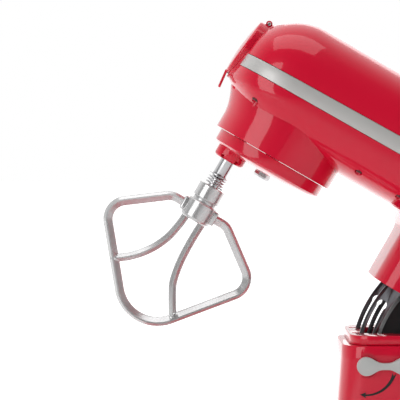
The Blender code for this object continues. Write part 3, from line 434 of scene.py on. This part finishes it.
shape(lower, [drum, neck, rear_plug("rear_plug", False)], "UNION", "MANIFOLD")
shape(lower, tools, "DIFFERENCE", "MANIFOLD")
settle(lower, "head", "head_lower_housing", 32)

steel = Finish("ground_steel", (0.58, 0.58, 0.59), 0.24, 1.0)
steel.set("Roughness", 0.17 + 0.20 * steel.noise(140.0, 3.0, (1, 1, 0.1)))
steel.bump(steel.noise(420.0, 2.0, (1, 1, 0.05)), 0.00002, 0.35)


def lathe(name, profile, finish, raised=False, x=0.0, y=0.0, z=0.0, steps=72, axis="Z"):
    rings = []
    for k in range(steps):
        c, s = cos(2 * pi * k / steps), sin(2 * pi * k / steps)
        rings.append([(x + r * c, y + r * s, h) if axis == "Z" else (x + r * c, h, z + r * s)
                      for r, h in profile])
    return loft(name, rings, finish, raised, closed=True)


NEAR_AXIS = 0.02             # a turned piece closes this close to its axis
SCREW_PROFILE = ((NEAR_AXIS, 1.8), (3.1, 1.8), (3.1, 0.4), (2.7, -0.1), (1.2, -0.2), (1.0, 0.6),
                 (NEAR_AXIS, 0.6))
# The screw heads are a dark reddish brown: partly dark steel, partly painted shade that stands in for the shade
# inside their recessed wells.
screw_steel_with_well_shade = Finish("dark_steel_with_painted_well_shade", (0.14, 0.05, 0.05), 0.45, 0.8)
screw_steel_with_well_shade.set("Roughness", 0.35 + 0.2 * screw_steel_with_well_shade.noise(500.0))
for number, (x, y, z) in enumerate(screw_places):
    screw = lathe(f"shell_screw_{number + 1}", [(r, z + h) for r, h in SCREW_PROFILE], screw_steel_with_well_shade, True,
                  x=x, y=y * SCREW_INSET, steps=32)
    settle(screw, "head", None)

# ---- Trim band -----------------------------------------------------------------------------------
# A pressed metal strip, painted satin silver, is clipped between the shells at the head's widest line. Its
# edges are slightly turned in, which leaves a fine dark seam above and below it.

satin = Finish("satin_silver", (0.56, 0.55, 0.535), 0.42, 0.35, Coat_Weight=0.2, Coat_Roughness=0.15)
satin.set("Roughness", 0.36 + 0.14 * satin.noise(90.0))
satin.bump(satin.noise(900.0, 1.0), 0.000015, 0.3)

places = stations(-69.5, HEAD_REAR, 90)
path = [(x, half_width(x)) for x in places] + [(x, -half_width(x)) for x in places[::-1]]
rings = []
for i, (x, y) in enumerate(path):
    before, after = path[max(i - 1, 0)], path[min(i + 1, len(path) - 1)]
    tx, ty = after[0] - before[0], after[1] - before[1]
    long = hypot(tx, ty)
    nx, ny = ty / long, -tx / long
    low, high = band_low(x), band_high(x)
    rings.append([(x + nx * d, y + ny * d, z) for d, z in
                  ((0.5, low), (0.15, low + 0.15), (0.0, low + 0.6), (0.0, high - 0.6), (0.15, high - 0.15),
                   (0.5, high), (SHELL_WALL, high), (SHELL_WALL, low))])
band = loft("band", rings, satin, True)
KNOB_X, KNOB_Z, KNOB_R = 200.0, 285.5, 14.0
holes = [hub_bore(), rod("knob_hole", 3.4, -90, -50, satin, True, x=KNOB_X, z=KNOB_Z, axis="Y")]
shape(band, holes, "DIFFERENCE")
settle(band, "head", "trim_band", 40)

# ---- Accessory hub and its cover -----------------------------------------------------------------
# The hub's ring is let into the nose. A domed cover with a finger tab is hinged at its top edge and hides
# the drive socket. Both are die-cast and enamelled like the shells.

RING_SLOPE, CAP_SLOPE = 0.218, 0.105


def slanted(x, slope, radius, steps=96):
    return [(x + slope * radius * sin(2 * pi * k / steps), radius * cos(2 * pi * k / steps),
             HUB_Z + radius * sin(2 * pi * k / steps)) for k in range(steps)]


ring_outline = ((-50, 0, HUB_RING_R), (-65.2, RING_SLOPE, HUB_RING_R), (-65.7, RING_SLOPE, HUB_RING_R - 0.3),
                (-65.9, RING_SLOPE, HUB_RING_R - 0.8), (-65.9, RING_SLOPE, HUB_CAP_R + 1.0),
                (-65.2, RING_SLOPE, HUB_CAP_R + 0.6), (-50, 0, HUB_CAP_R + 0.6))
ring = loft("hub_rim", [slanted(*place) for place in ring_outline], enamel, True, closed=True)
shape(ring, [box("hub_notch", (-90, -6, 315), (-52, 6, 340), enamel, True)], "DIFFERENCE")
settle(ring, "head", "hub_ring")

dome = [(-62.5, RING_SLOPE, HUB_CAP_R), (-71.0, CAP_SLOPE, HUB_CAP_R), (-71.9, CAP_SLOPE, HUB_CAP_R - 0.3),
        (-72.5, CAP_SLOPE, HUB_CAP_R - 1.0)]
dome += [(-72.7 - 2.2 * (1 - (r / 26.6) ** 2), CAP_SLOPE, r) for r in (26.2, 24, 20, 15, 10, 5, 0.6)]
cover = loft("hub_cap", [slanted(*place) for place in dome], enamel, True)
TAB_HALF, TAB_CORNER, TAB_LOW, TAB_ROOT, TAB_MIDDLE, TAB_FACE, TAB_BACK = 7, 2.5, 253.5, 268, 265, -75.9, -73.6
tab_outline = [(-TAB_HALF + TAB_CORNER - TAB_CORNER * cos(a), TAB_LOW - TAB_CORNER * sin(a))
               for a in (k * pi / 16 for k in range(9))]
tab_outline += [(-y, z) for y, z in tab_outline[::-1]] + [(TAB_HALF, TAB_ROOT), (-TAB_HALF, TAB_ROOT)]
tab = loft("tab", [[(x - CAP_SLOPE * (z - TAB_MIDDLE), y, z) for y, z in tab_outline]
                   for x in (TAB_FACE, TAB_BACK)], enamel, True)
smooth_edges(tab, 0.6)
HUB_PIN_X, HUB_PIN_Z = -62.5, 322.5
ear = rod("ear", 2.9, -5.4, 5.4, enamel, True, x=HUB_PIN_X, z=HUB_PIN_Z, axis="Y")
shape(cover, [tab, ear], "UNION")
pin_hole = rod("pin_hole", 1.5, -20, 20, enamel, True, x=HUB_PIN_X, z=HUB_PIN_Z, axis="Y", steps=32)
shape(cover, [pin_hole], "DIFFERENCE")
settle(cover, "hub_cover", "hub_cover")

# ---- Planet drive --------------------------------------------------------------------------------
# An enamelled disc turns in the mouth of the drum and carries the beater's steel shaft off its centre. The
# shaft has a cross pin for the beater's bayonet, and a spring under a washer that pushes the beater down.

PLANET_X, DISC_R, DISC_LOW, DISC_RIM_LOW = -33.0, 52.7, 203.9, 209.4
BOSS_ACROSS, BOSS_LOW, SPINDLE_R, SPINDLE_TIP_R = 28.8, 197.6, 6.5, 5.2
PIN_Z, PIN_R, PIN_HALF, SPRING_TOP, HUB_TOP = 162.9, 2.25, 9.0, 180.0, 170.9
disc_profile = [(4.3, DISC_LOW), (14, DISC_LOW), (22, DISC_LOW + 0.5), (32, DISC_LOW + 1.4),
                (40, DISC_LOW + 2.5), (46, DISC_LOW + 3.6), (50, DISC_LOW + 4.6), (DISC_R - 1.4, DISC_RIM_LOW),
                (DISC_R - 0.5, DISC_RIM_LOW + 0.4), (DISC_R, DISC_RIM_LOW + 1.4), (DISC_R, DRUM_BOTTOM - 0.4),
                (7.3, DRUM_BOTTOM - 0.4), (7.3, 212), (4.3, 212)]
disc = lathe("planet_disc", disc_profile, enamel, True, steps=128)
boss_profile = ((BOSS_LOW, BOSS_ACROSS / 2 - 2.2), (BOSS_LOW + 0.8, BOSS_ACROSS / 2 - 0.9),
                (BOSS_LOW + 2.2, BOSS_ACROSS / 2), (DISC_LOW + 8, BOSS_ACROSS / 2))
boss = loft("boss", [[(PLANET_X + r * cos(pi * k / 12), r * sin(pi * k / 12), z) for k in range(24)]
                     for z, r in boss_profile], enamel, True)
NOTCHES = 6
notches = [box(f"boss_notch_{k}", (-1.6, 8.8, BOSS_LOW - 1), (1.6, 16, BOSS_LOW + 3.4), enamel)
           for k in range(NOTCHES)]
for k, notch in enumerate(notches):
    turned = Matrix.Rotation(2 * pi * (k + 0.5) / NOTCHES, 4, "Z")
    notch.data.transform(RAISED @ (Matrix.Translation((PLANET_X * MM, 0, 0)) @ turned))
shape(disc, [boss], "UNION")
shape(disc, notches + [rod("shaft_hole", SPINDLE_R + 0.4, 190, 230, enamel, True, x=PLANET_X)], "DIFFERENCE")
settle(disc, "carrier", "planetary_disc")

SHAFT_TIP_Z, SHAFT_TOP_Z = 149.5, 233
shaft_profile = [(NEAR_AXIS, SHAFT_TIP_Z), (SPINDLE_TIP_R - 1, SHAFT_TIP_Z), (SPINDLE_TIP_R, 150.6),
                 (SPINDLE_TIP_R, SPRING_TOP - 0.4), (SPINDLE_R - 0.3, SPRING_TOP + 0.4),
                 (SPINDLE_R, SPRING_TOP + 0.9), (SPINDLE_R, SHAFT_TOP_Z), (NEAR_AXIS, SHAFT_TOP_Z)]
shaft = lathe("planet_shaft", shaft_profile, steel, True, x=PLANET_X)
settle(shaft, "spindle", "beater_spindle")
pin_profile = [(NEAR_AXIS, -PIN_HALF), (PIN_R - 0.5, -PIN_HALF), (PIN_R, -PIN_HALF + 0.5),
               (PIN_R, PIN_HALF - 0.5), (PIN_R - 0.5, PIN_HALF), (NEAR_AXIS, PIN_HALF)]
pin = lathe("bayonet_pin", pin_profile, steel, True, x=PLANET_X, z=PIN_Z, axis="Y", steps=40)
settle(pin, "spindle", "cross_pin")
washer_profile = [(SPINDLE_R + 0.3, SPRING_TOP + 1.2), (8.8, SPRING_TOP + 1.2), (9.2, SPRING_TOP + 1.6),
                  (9.2, SPRING_TOP + 2.2), (8.8, SPRING_TOP + 2.4), (SPINDLE_R + 0.3, SPRING_TOP + 2.4)]
washer = lathe("top_washer", washer_profile, steel, True, x=PLANET_X)
settle(washer, "spindle", "spring_washer")
WIRE, WIRE_SIDES, COIL_R, COIL_TURNS, COIL_STEPS = 0.7, 14, 7.9, 3.0, 60
coil = []
for k in range(int(COIL_TURNS * COIL_STEPS) + 1):
    a = 2 * pi * k / COIL_STEPS
    z = HUB_TOP + WIRE + 0.4 + (SPRING_TOP - HUB_TOP - 2 * WIRE) * k / (COIL_TURNS * COIL_STEPS)
    coil.append([(PLANET_X + (COIL_R + WIRE * cos(b)) * cos(a), (COIL_R + WIRE * cos(b)) * sin(a),
                  z + WIRE * sin(b)) for b in (2 * pi * i / WIRE_SIDES for i in range(WIRE_SIDES))])
settle(loft("coil_spring", coil, steel, True), "spindle", "beater_spring")

# ---- Flat beater ---------------------------------------------------------------------------------
# The beater is one aluminium casting: a rim and two curved ribs of kite-shaped section below a stepped hub
# with a bayonet slot. It is burnished, so its faces are bright with faint tumbling marks.

burnished = Finish("burnished_aluminium", (0.66, 0.66, 0.66), 0.2, 0.65)
burnished.set("Roughness", 0.13 + 0.22 * burnished.noise(70.0, 4.0))
burnished.tint(burnished.noise(35.0, 3.0) * 0.5, (0.46, 0.46, 0.47))
burnished.bump(burnished.noise(240.0, 4.0), 0.00006, 0.4)


def smooth(points, steps):
    made = []
    last = len(points) - 1
    for i in range(last):
        near = points[max(i - 1, 0)], points[i], points[i + 1], points[min(i + 2, last)]
        for s in range(steps):
            t = s / steps
            made.append(tuple(0.5 * (2 * b + (c - a) * t + (2 * a - 5 * b + 4 * c - d) * t * t
                                     + (3 * b - a - 3 * c + d) * t ** 3) for a, b, c, d in zip(*near)))
    return made + [tuple(points[-1])]


def rounded_path(corners, step, spacing=2.5):
    """Straight runs between corners of (x, z, fillet radius), with an arc at each inner corner."""
    made = [corners[0][:2]]
    for (ax, az, _), (bx, bz, radius), (cx, cz, _) in zip(corners, corners[1:], corners[2:]):
        start, end = atan2(bz - az, bx - ax), atan2(cz - bz, cx - bx)
        turn = (end - start + pi) % (2 * pi) - pi
        bend = radius if turn > 0 else -radius
        reach = bend * tan(turn / 2)
        px, pz = bx - reach * cos(start), bz - reach * sin(start)
        count = max(2, round(abs(turn) / step))
        for k in range(count + 1):
            a = start + turn * k / count
            made.append((px + bend * (sin(a) - sin(start)), pz + bend * (cos(start) - cos(a))))
    made.append(corners[-1][:2])
    spaced = [made[0]]
    for (ax, az), (bx, bz) in zip(made, made[1:]):
        count = max(1, round(hypot(bx - ax, bz - az) / spacing))
        spaced += [(ax + (bx - ax) * k / count, az + (bz - az) * k / count) for k in range(1, count + 1)]
    return spaced


def swept(name, path, section):
    rings = []
    for i, (x, z) in enumerate(path):
        before, after = path[max(i - 1, 0)], path[min(i + 1, len(path) - 1)]
        tx, tz = after[0] - before[0], after[1] - before[1]
        long = hypot(tx, tz)
        rings.append([(x + u * tz / long, y, z - u * tx / long) for u, y in section])
    return loft(name, rings, burnished, True, shade=20)


def softened(section, share=0.16):
    """Each corner of a bar's section is worn to a short chamfer."""
    made = []
    for i, (u, y) in enumerate(section):
        for near in (section[i - 1], section[(i + 1) % len(section)]):
            made.append((u + (near[0] - u) * share, y + (near[1] - y) * share))
    return made


BEATER_HALF, SHOULDER_Z, FLANK_Z, FOOT_Z, BEATER_FLOOR = 77.0, 146.3, 109.6, 15.6, 144.8
RIM = ((9.5, SHOULDER_Z, 0), (28.1, SHOULDER_Z, 14), (BEATER_HALF, FLANK_Z, 16.7))
rim_corners = ([(PLANET_X + x, z, r) for x, z, r in RIM] + [(PLANET_X, FOOT_Z, 35)]
               + [(PLANET_X - x, z, r) for x, z, r in RIM[::-1]])
RIM_SECTION = softened(((-4.2, -1.6), (-4.2, 1.6), (-1.2, 5.4), (4.3, 1.0), (4.3, -1.0), (-1.2, -5.4)))
RIB_SECTION = softened(((3.6, 1.0), (0, 4.1), (-3.6, 1.0), (-3.6, -1.0), (0, -4.1), (3.6, -1.0)))
beater_profile = [(SPINDLE_TIP_R + 0.4, BEATER_FLOOR), (SPINDLE_TIP_R + 0.4, HUB_TOP - 0.5), (6.2, HUB_TOP),
                  (11.6, HUB_TOP), (12.3, HUB_TOP - 0.4), (12.5, HUB_TOP - 1.1), (12.5, 158.2), (12.1, 157.4),
                  (11.2, 156.8), (11, 156), (11, 155), (11.4, 154.4), (13.4, 153.6), (14, 152.8), (14, 138.6),
                  (13.4, 137), (12, 136), (NEAR_AXIS, 136), (NEAR_AXIS, BEATER_FLOOR)]
beater = lathe("paddle", beater_profile, burnished, True, x=PLANET_X, steps=96)
bars = [swept("rim", rounded_path(rim_corners, radians(3)), RIM_SECTION)]
LEFT_RIB = ((-8.2, 140), (-9.4, 126), (-13.1, 109.8), (-21, 94), (-33, 80), (-48, 68.6))
RIGHT_RIB = ((8.2, 140), (7.4, 120), (8.2, 98), (11.4, 80), (16.1, 69.6), (27, 51))
for side, points in ((-1, LEFT_RIB), (1, RIGHT_RIB)):
    bars.append(swept(f"rib_{side}", smooth([(PLANET_X + x, z) for x, z in points], 12), RIB_SECTION))
    low, high = sorted((PLANET_X + side * 10.0, PLANET_X + side * 17.2))
    lug = box(f"hub_lug_{side}", (low, -5.8, 139.6), (high, 5.8, 152.6), burnished, True)
    bars.append(smooth_edges(lug, 1.6, 4))
shape(beater, bars, "UNION", "MANIFOLD")
bayonet = box("bayonet", (PLANET_X - 2.7, -PIN_HALF - 1, 155.6), (PLANET_X + 2.7, PIN_HALF + 1, 180), burnished,
              True)
shape(beater, [bayonet], "DIFFERENCE", "MANIFOLD")
settle(beater, "beater", "flat_beater", 22)

# ---- Tilt arms, shroud and neck insert -----------------------------------------------------------
# Two blackened steel arms hang from the head and turn on the pivot pin. A curved slot in each runs over the
# lock's shaft and ends in a keyhole. A black moulded shroud fills the gap between them.

ARM_Y, ARM_THICK, ARM_R, ARM_WIDTH, ARM_SLOT = 23.0, 2.8, 103.5, 15.0, 7.4
LOCK_ANGLE, PIVOT_PIN_R = 3.0, 6.0
gunmetal = Finish("blackened_steel", (0.16, 0.16, 0.175), 0.30, 0.9)
gunmetal.set("Roughness", 0.22 + 0.16 * gunmetal.noise(120.0, 3.0))
gunmetal.tint(gunmetal.noise(50.0, 3.0) * 0.6, (0.22, 0.22, 0.23))
moulded = Finish("black_moulding", (0.018, 0.018, 0.019), 0.45)
moulded.set("Roughness", 0.38 + 0.16 * moulded.noise(200.0, 2.0))
moulded.bump(moulded.noise(1100.0, 1.0), 0.00003, 0.5)


def plate(name, outline, holes, low, high, finish, raised=False, axis="Z"):
    bm = bmesh.new()
    for loop in [outline] + holes:
        points = [bm.verts.new((p[0], p[1], 0)) for p in loop]
        for a, b in zip(points, points[1:] + points[:1]):
            bm.edges.new((a, b))
    bmesh.ops.triangle_fill(bm, use_beauty=True, use_dissolve=False, edges=bm.edges)
    grown = bmesh.ops.extrude_face_region(bm, geom=bm.faces[:])
    for item in grown["geom"]:
        if isinstance(item, bmesh.types.BMVert):
            item.co.z = high - low
    bmesh.ops.dissolve_limit(bm, angle_limit=radians(1), verts=bm.verts, edges=bm.edges)
    bm.verts.index_update()
    spots = [(v.co.x, v.co.y, v.co.z) for v in bm.verts]
    faces = [[v.index for v in f.verts] for f in bm.faces]
    bm.free()
    verts = [(x, y, low + h) if axis == "Z" else (x, low + h, y) for x, y, h in spots]
    return piece(name, verts, faces, finish, raised)


def circle(x, y, radius, steps=64):
    angles = [2 * pi * k / steps for k in range(steps)]
    return [(x + radius * cos(a), y + radius * sin(a)) for a in angles]


def arc(radius, start, end, steps):
    return [(PIVOT_X - radius * cos(radians(start + (end - start) * k / steps)),
             PIVOT_Z + radius * sin(radians(start + (end - start) * k / steps))) for k in range(steps + 1)]


SLOT_LOW = LOCK_ANGLE - TILT_OPEN
sector = arc(ARM_R + ARM_WIDTH / 2, SLOT_LOW - 7, 19, 60)
inner_sector = arc(ARM_R - ARM_WIDTH / 2, 19, SLOT_LOW - 7, 60)
eye_rim = [(PIVOT_X + 12 * cos(radians(a)), PIVOT_Z + 12 * sin(radians(a))) for a in range(150, 391, 6)]
arm_outline = (sector + [(sector[-1][0], 198), (PIVOT_X + 8, 198), (PIVOT_X + 10, 194)] + eye_rim[::-1]
               + [(PIVOT_X - 9, 188), (inner_sector[0][0] + 3, 188)] + inner_sector)
key_x, key_z = arc(ARM_R, LOCK_ANGLE, LOCK_ANGLE, 1)[0]
end_x, end_z = arc(ARM_R, SLOT_LOW, SLOT_LOW, 1)[0]
slot_outer = arc(ARM_R + ARM_SLOT / 2, SLOT_LOW, LOCK_ANGLE, 50)
slot_inner = arc(ARM_R - ARM_SLOT / 2, LOCK_ANGLE, SLOT_LOW, 50)
for side, name in ((-1, "left"), (1, "right")):
    low, high = side * ARM_Y - ARM_THICK / 2, side * ARM_Y + ARM_THICK / 2
    pin_bore = circle(PIVOT_X, PIVOT_Z, PIVOT_PIN_R + RUN)
    arm = plate(f"arm_{name}", arm_outline, [pin_bore], low, high, gunmetal, True, "Y")
    gaps = [plate("slot", slot_outer + slot_inner, [], low - 4, high + 4, gunmetal, True, "Y"),
            rod("keyhole", 4.6, low - 5, high + 5, gunmetal, True, x=key_x, z=key_z, axis="Y"),
            rod("slot_end", ARM_SLOT / 2, low - 5, high + 5, gunmetal, True, x=end_x, z=end_z, axis="Y")]
    shape(arm, gaps, "DIFFERENCE")
    settle(smooth_edges(arm, 0.35, 2), "head", f"tilt_arm_{name}")
INSERT_LOW = 184.0
SHROUD_HALF, SHROUD_WALL, SHROUD_LOW = 19.0, 2.5, -22.0
SHROUD_R = ARM_R - 11.5
SHROUD_INNER_R = SHROUD_R - 26


def shroud_shape(name, outer, inner, rise, half):
    """A block between two arcs about the pivot, flat on top just under the neck insert."""
    top = INSERT_LOW - 1.2 - PIVOT_Z + rise
    outer_end, inner_end = (degrees(asin(top / radius)) for radius in (outer, inner))
    outline = arc(outer, SHROUD_LOW - rise, outer_end, 60) + arc(inner, inner_end, SHROUD_LOW - rise, 60)
    return plate(name, outline, [], -half, half, moulded, True, "Y")


shroud = shroud_shape("shroud", SHROUD_R, SHROUD_INNER_R, 0, SHROUD_HALF)
pocket = shroud_shape("pocket", SHROUD_R - 2 * SHROUD_WALL, SHROUD_INNER_R - 5, 3, SHROUD_HALF - SHROUD_WALL)
shape(shroud, [pocket], "DIFFERENCE")
settle(smooth_edges(shroud, 0.8, 3), "head", "hinge_shroud")

# ---- Foot, column and collar ---------------------------------------------------------------------
# The foot and the column are one enamelled casting, round at the front under the bowl and open below. A
# stepped collar on the column fits inside the neck when the head is down.

FOOT_R, FOOT_REAR_R, FOOT_REAR_X = 108.0, 82.0, 211.0
FOOT_LOW, FOOT_TOP, FOOT_WALL, SEAT_R, SEAT_FLOOR = 6.5, 27.0, 4.0, 54.0, 23.0
COLUMN_TOP, COLUMN_WALL, COLUMN_FOOT_FRONT = 172.7, 4.0, 117.5
LOCK_X, LOCK_Z = joint_at["lock_turn"].x / MM, joint_at["lock_turn"].z / MM


def capsule(x1, r1, x2, r2, steps=64):
    lean = acos((r1 - r2) / (x2 - x1))
    front = [lean + (2 * pi - 2 * lean) * k / steps for k in range(steps + 1)]
    rear = [-lean + 2 * lean * k / steps for k in range(steps + 1)]
    return [(x1 + r1 * cos(a), r1 * sin(a)) for a in front] + [(x2 + r2 * cos(a), r2 * sin(a)) for a in rear]


def foot_ring(z, inset):
    return [(x, y, z) for x, y in capsule(0, FOOT_R - inset, FOOT_REAR_X, FOOT_REAR_R - inset)]


def column_ring(z, inset, flare=0.0):
    rise = max(0.0, (z - FOOT_TOP) / (COLUMN_TOP - FOOT_TOP))
    front = COLUMN_FOOT_FRONT + (NECK_FRONT - COLUMN_FOOT_FRONT) * rise ** 0.8
    return [(x, y, z) for x, y in rounded_box(front + inset - flare, NECK_REAR - inset, NECK_HALF - inset,
                                              26 - inset / 2, REAR_CORNER - inset / 2)]


foot_edge = [(FOOT_LOW, 2.0), (FOOT_LOW + 0.8, 0.8), (FOOT_LOW + 3, 0.0), (FOOT_TOP - 8, 0.0)]
foot_edge += [(FOOT_TOP - 8 + 8 * sin(a), 8 - 8 * cos(a)) for a in (pi * k / 20 for k in range(1, 11))]
base = loft("foot_and_column", [foot_ring(z, inset) for z, inset in foot_edge], enamel)
column_rings = [column_ring(FOOT_TOP - 5, 0, 22)]
column_rings += [column_ring(FOOT_TOP + 28 * t, 0, 22 * (1 - t) ** 2.2) for t in (k / 14 for k in range(15))]
column = loft("column", column_rings + [column_ring(z, 0) for z in (70, 85, 110, 140, 160, COLUMN_TOP - 0.8)]
              + [column_ring(COLUMN_TOP - 0.2, 0.3), column_ring(COLUMN_TOP, 0.9)], enamel)
BEVEL_X, BEVEL_END, BEVEL_DROP = 258.6, 300, 0.5774
bevel_outline = [(BEVEL_X, COLUMN_TOP + 0.1), (BEVEL_END, COLUMN_TOP - (BEVEL_END - BEVEL_X) * BEVEL_DROP),
                 (BEVEL_END, 200), (BEVEL_X, 200)]
bevel = plate("bevel", bevel_outline, [], -80, 80, enamel, axis="Y")
roof_outline = rounded_box(NECK_FRONT + COLUMN_WALL, 254, NECK_HALF - COLUMN_WALL, 24, 24)
roof = loft("roof", [[(x, y, z) for x, y in roof_outline] for z in (150, COLUMN_TOP - COLUMN_WALL)], enamel)
ARM_OPENING_FRONT, ARM_OPENING_HALF = 139.5, 27.2
shape(base, [column], "UNION", "MANIFOLD")
shape(base, [loft("foot_hollow", [foot_ring(z, FOOT_WALL) for z in (0, 19)], enamel),
             loft("column_hollow", [column_ring(z, COLUMN_WALL) for z in (0, 30, 80, 120, 157)], enamel), roof,
             box("arm_opening", (ARM_OPENING_FRONT, -ARM_OPENING_HALF, 100),
                 (NECK_REAR - 3.6, ARM_OPENING_HALF, 200), enamel), bevel,
             rod("seat_recess", SEAT_R, SEAT_FLOOR, 40, enamel, steps=128),
             rod("lock_hole", 3.7, -70, -45, enamel, x=LOCK_X, z=LOCK_Z, axis="Y"),
             rod("lock_recess", 10.8, -70, -55.4, enamel, x=LOCK_X, z=LOCK_Z, axis="Y"),
             rod("gland_hole", 6.8, 260, 300, enamel, z=48, axis="X")], "DIFFERENCE", "MANIFOLD")
settle(base, "base", "base_housing", 32)

COLLAR_TOP, COLLAR_OPEN_X, COLLAR_SLOT_FRONT, COLLAR_SLOT_REAR = 181.4, 149, 140.2, 155
collar = plate("collar", rounded_box(136.5, 245, 52.5, 21, 4), [], COLUMN_TOP + GAP, COLLAR_TOP, enamel)
shape(collar, [box("opening", (COLLAR_OPEN_X, -26.6, 160), (300, 26.6, 200), enamel),
               box("slot_left", (COLLAR_SLOT_FRONT, -25.4, 160), (COLLAR_SLOT_REAR, -20.6, 200), enamel),
               box("slot_right", (COLLAR_SLOT_FRONT, 20.6, 160), (COLLAR_SLOT_REAR, 25.4, 200), enamel)],
      "DIFFERENCE")
settle(smooth_edges(collar, 1.0, 4), "base", "column_collar")

# ---- Lock lever and turning mark -----------------------------------------------------------------
# The lever is a small dumbbell of die-cast zinc, painted matt silver, on a steel shaft that passes through
# the column. A curved black arrow beside it shows which way it turns.

LEVER_ARM, LEVER_R, LEVER_WAIST, LEVER_BLEND, LEVER_THICK, LEVER_Y = 34.0, 8.2, 2.9, 14.5, 6.0, -57.6
edge = []
for k in range(81):
    u = -LEVER_R + (LEVER_ARM + 2 * LEVER_R) * (1 - cos(pi * k / 80)) / 2
    near = min(abs(u), abs(u - LEVER_ARM))
    lobe = sqrt(max(0.0, LEVER_R ** 2 - near ** 2))
    blend = LEVER_WAIST + (LEVER_R - LEVER_WAIST) * cos(pi / 2 * min(1.0, near / LEVER_BLEND)) ** 2
    edge.append((u, max(lobe, blend) if 0 < u < LEVER_ARM else lobe))
outline = [(LOCK_X + u, LOCK_Z + h) for u, h in edge] + [(LOCK_X + u, LOCK_Z - h) for u, h in edge[-2:0:-1]]
matt = Finish("matt_silver", (0.50, 0.51, 0.50), 0.6, 0.1)
matt.set("Roughness", 0.52 + 0.12 * matt.noise(150.0))
matt.bump(matt.noise(1200.0, 1.0), 0.000015, 0.3)
lever = plate("dumbbell_lever", outline, [], LEVER_Y - LEVER_THICK, LEVER_Y, matt, axis="Y")
settle(smooth_edges(lever, 0.5, 3, 50), "lock", "lock_lever")

ink = Finish("black_ink", (0.006, 0.006, 0.006), 0.5)
ink.set("Roughness", 0.45 + 0.1 * ink.noise(300.0))
ARROW_R, ARROW_FROM, ARROW_TO, ARROW_TAIL_WIDTH, ARROW_NECK_WIDTH = 25.8, -14.0, -91.0, 3.4, 1.5
ARROW_STEPS, INK_FRONT, INK_BACK = 40, -57.12, -56.9
outer, inner = [], []
for k in range(ARROW_STEPS + 1):
    a = radians(ARROW_FROM + (ARROW_TO - ARROW_FROM) * k / ARROW_STEPS)
    half = (ARROW_TAIL_WIDTH + (ARROW_NECK_WIDTH - ARROW_TAIL_WIDTH) * (k / ARROW_STEPS) ** 0.7) / 2
    outer.append(((ARROW_R + half) * cos(a), (ARROW_R + half) * sin(a)))
    inner.append(((ARROW_R - half) * cos(a), (ARROW_R - half) * sin(a)))
end = radians(ARROW_TO)
tip = [((ARROW_R + s) * cos(end + t), (ARROW_R + s) * sin(end + t))
       for s, t in ((2.5, 0.02), (0.0, -0.19), (-2.5, 0.02))]
notch = radians(ARROW_FROM - 6)
tail = [(ARROW_R * cos(notch), ARROW_R * sin(notch))]
mark_outline = [(LOCK_X + a, LOCK_Z + b) for a, b in outer + tip + inner[::-1] + tail]
mark = plate("turning_mark", mark_outline, [], INK_FRONT, INK_BACK, ink, axis="Y")
settle(mark, "base", None)

# ---- Speed knob ----------------------------------------------------------------------------------
# A turned black knob with a fluted grip sets the speed from the left side of the head. Its stem passes through
# the trim band.

KNOB_Y = -HEAD_HALF_WIDTH - 0.6
KNOB_FLUTES, KNOB_STEPS = 24, 192
knob_profile = ((KNOB_Y, KNOB_R, 0), (KNOB_Y - 2.6, KNOB_R, 0), (KNOB_Y - 3.2, KNOB_R - 0.6, 0),
                (KNOB_Y - 4.0, KNOB_R - 2, 0.5), (KNOB_Y - 12.6, KNOB_R - 3, 0.5),
                (KNOB_Y - 13.6, KNOB_R - 3.5, 0.4), (KNOB_Y - 14.4, KNOB_R - 4.6, 0.1), (KNOB_Y - 14.5, 1.0, 0))
knob_rings = []
for h, r, flute in knob_profile:
    knob_rings.append([(KNOB_X + (r - flute * (1 + cos(KNOB_FLUTES * a))) * cos(a), h,
                        KNOB_Z + (r - flute * (1 + cos(KNOB_FLUTES * a))) * sin(a))
                       for a in (2 * pi * k / KNOB_STEPS for k in range(KNOB_STEPS))])
knob = loft("knob", knob_rings, moulded, True)
shape(knob, [rod("stem", 3.0, KNOB_Y - 2, -47, moulded, True, x=KNOB_X, z=KNOB_Z, axis="Y")], "UNION")
settle(knob, "speed_knob", "speed_knob", 40)

# ---- Carried-over pieces -------------------------------------------------------------------------
# What sits inside the shells, and the plain turned and stamped pieces, keep their shape and get their finish:
# steel, aluminium, bronze, copper, rubber, moulding or circuit board.

rubber = Finish("soft_rubber", (0.02, 0.02, 0.02), 0.75)
rubber.set("Roughness", 0.68 + 0.2 * rubber.noise(180.0))
rubber.bump(rubber.noise(700.0), 0.00005, 0.5)
bronze = Finish("sintered_bronze", (0.50, 0.33, 0.13), 0.35, 1.0)
bronze.set("Roughness", 0.3 + 0.2 * bronze.noise(300.0))
copper = Finish("wound_copper", (0.55, 0.22, 0.10), 0.35, 1.0)
copper.bump(copper.noise(400.0, 2.0, (1, 1, 6)), 0.0001, 0.6)
coated = Finish("coated_board", (0.01, 0.13, 0.04), 0.4)
coated.tint(coated.noise(160.0), (0.02, 0.20, 0.07))
dressed = {"red_enamel": enamel, "silver_trim": satin, "steel": steel, "dark_steel": gunmetal,
           "aluminium": burnished, "black_plastic": moulded, "rubber": rubber, "brass": bronze,
           "copper": copper, "circuit_board": coated}
for entry in frame["record"]["subparts"]:
    node = frame["nodes"][entry["node"]]
    node.data.materials.clear()
    node.data.materials.append(dressed[entry["material_slot"]].material)
    node.data.shade_smooth()
    node.data.set_sharp_from_angle(angle=radians(32))
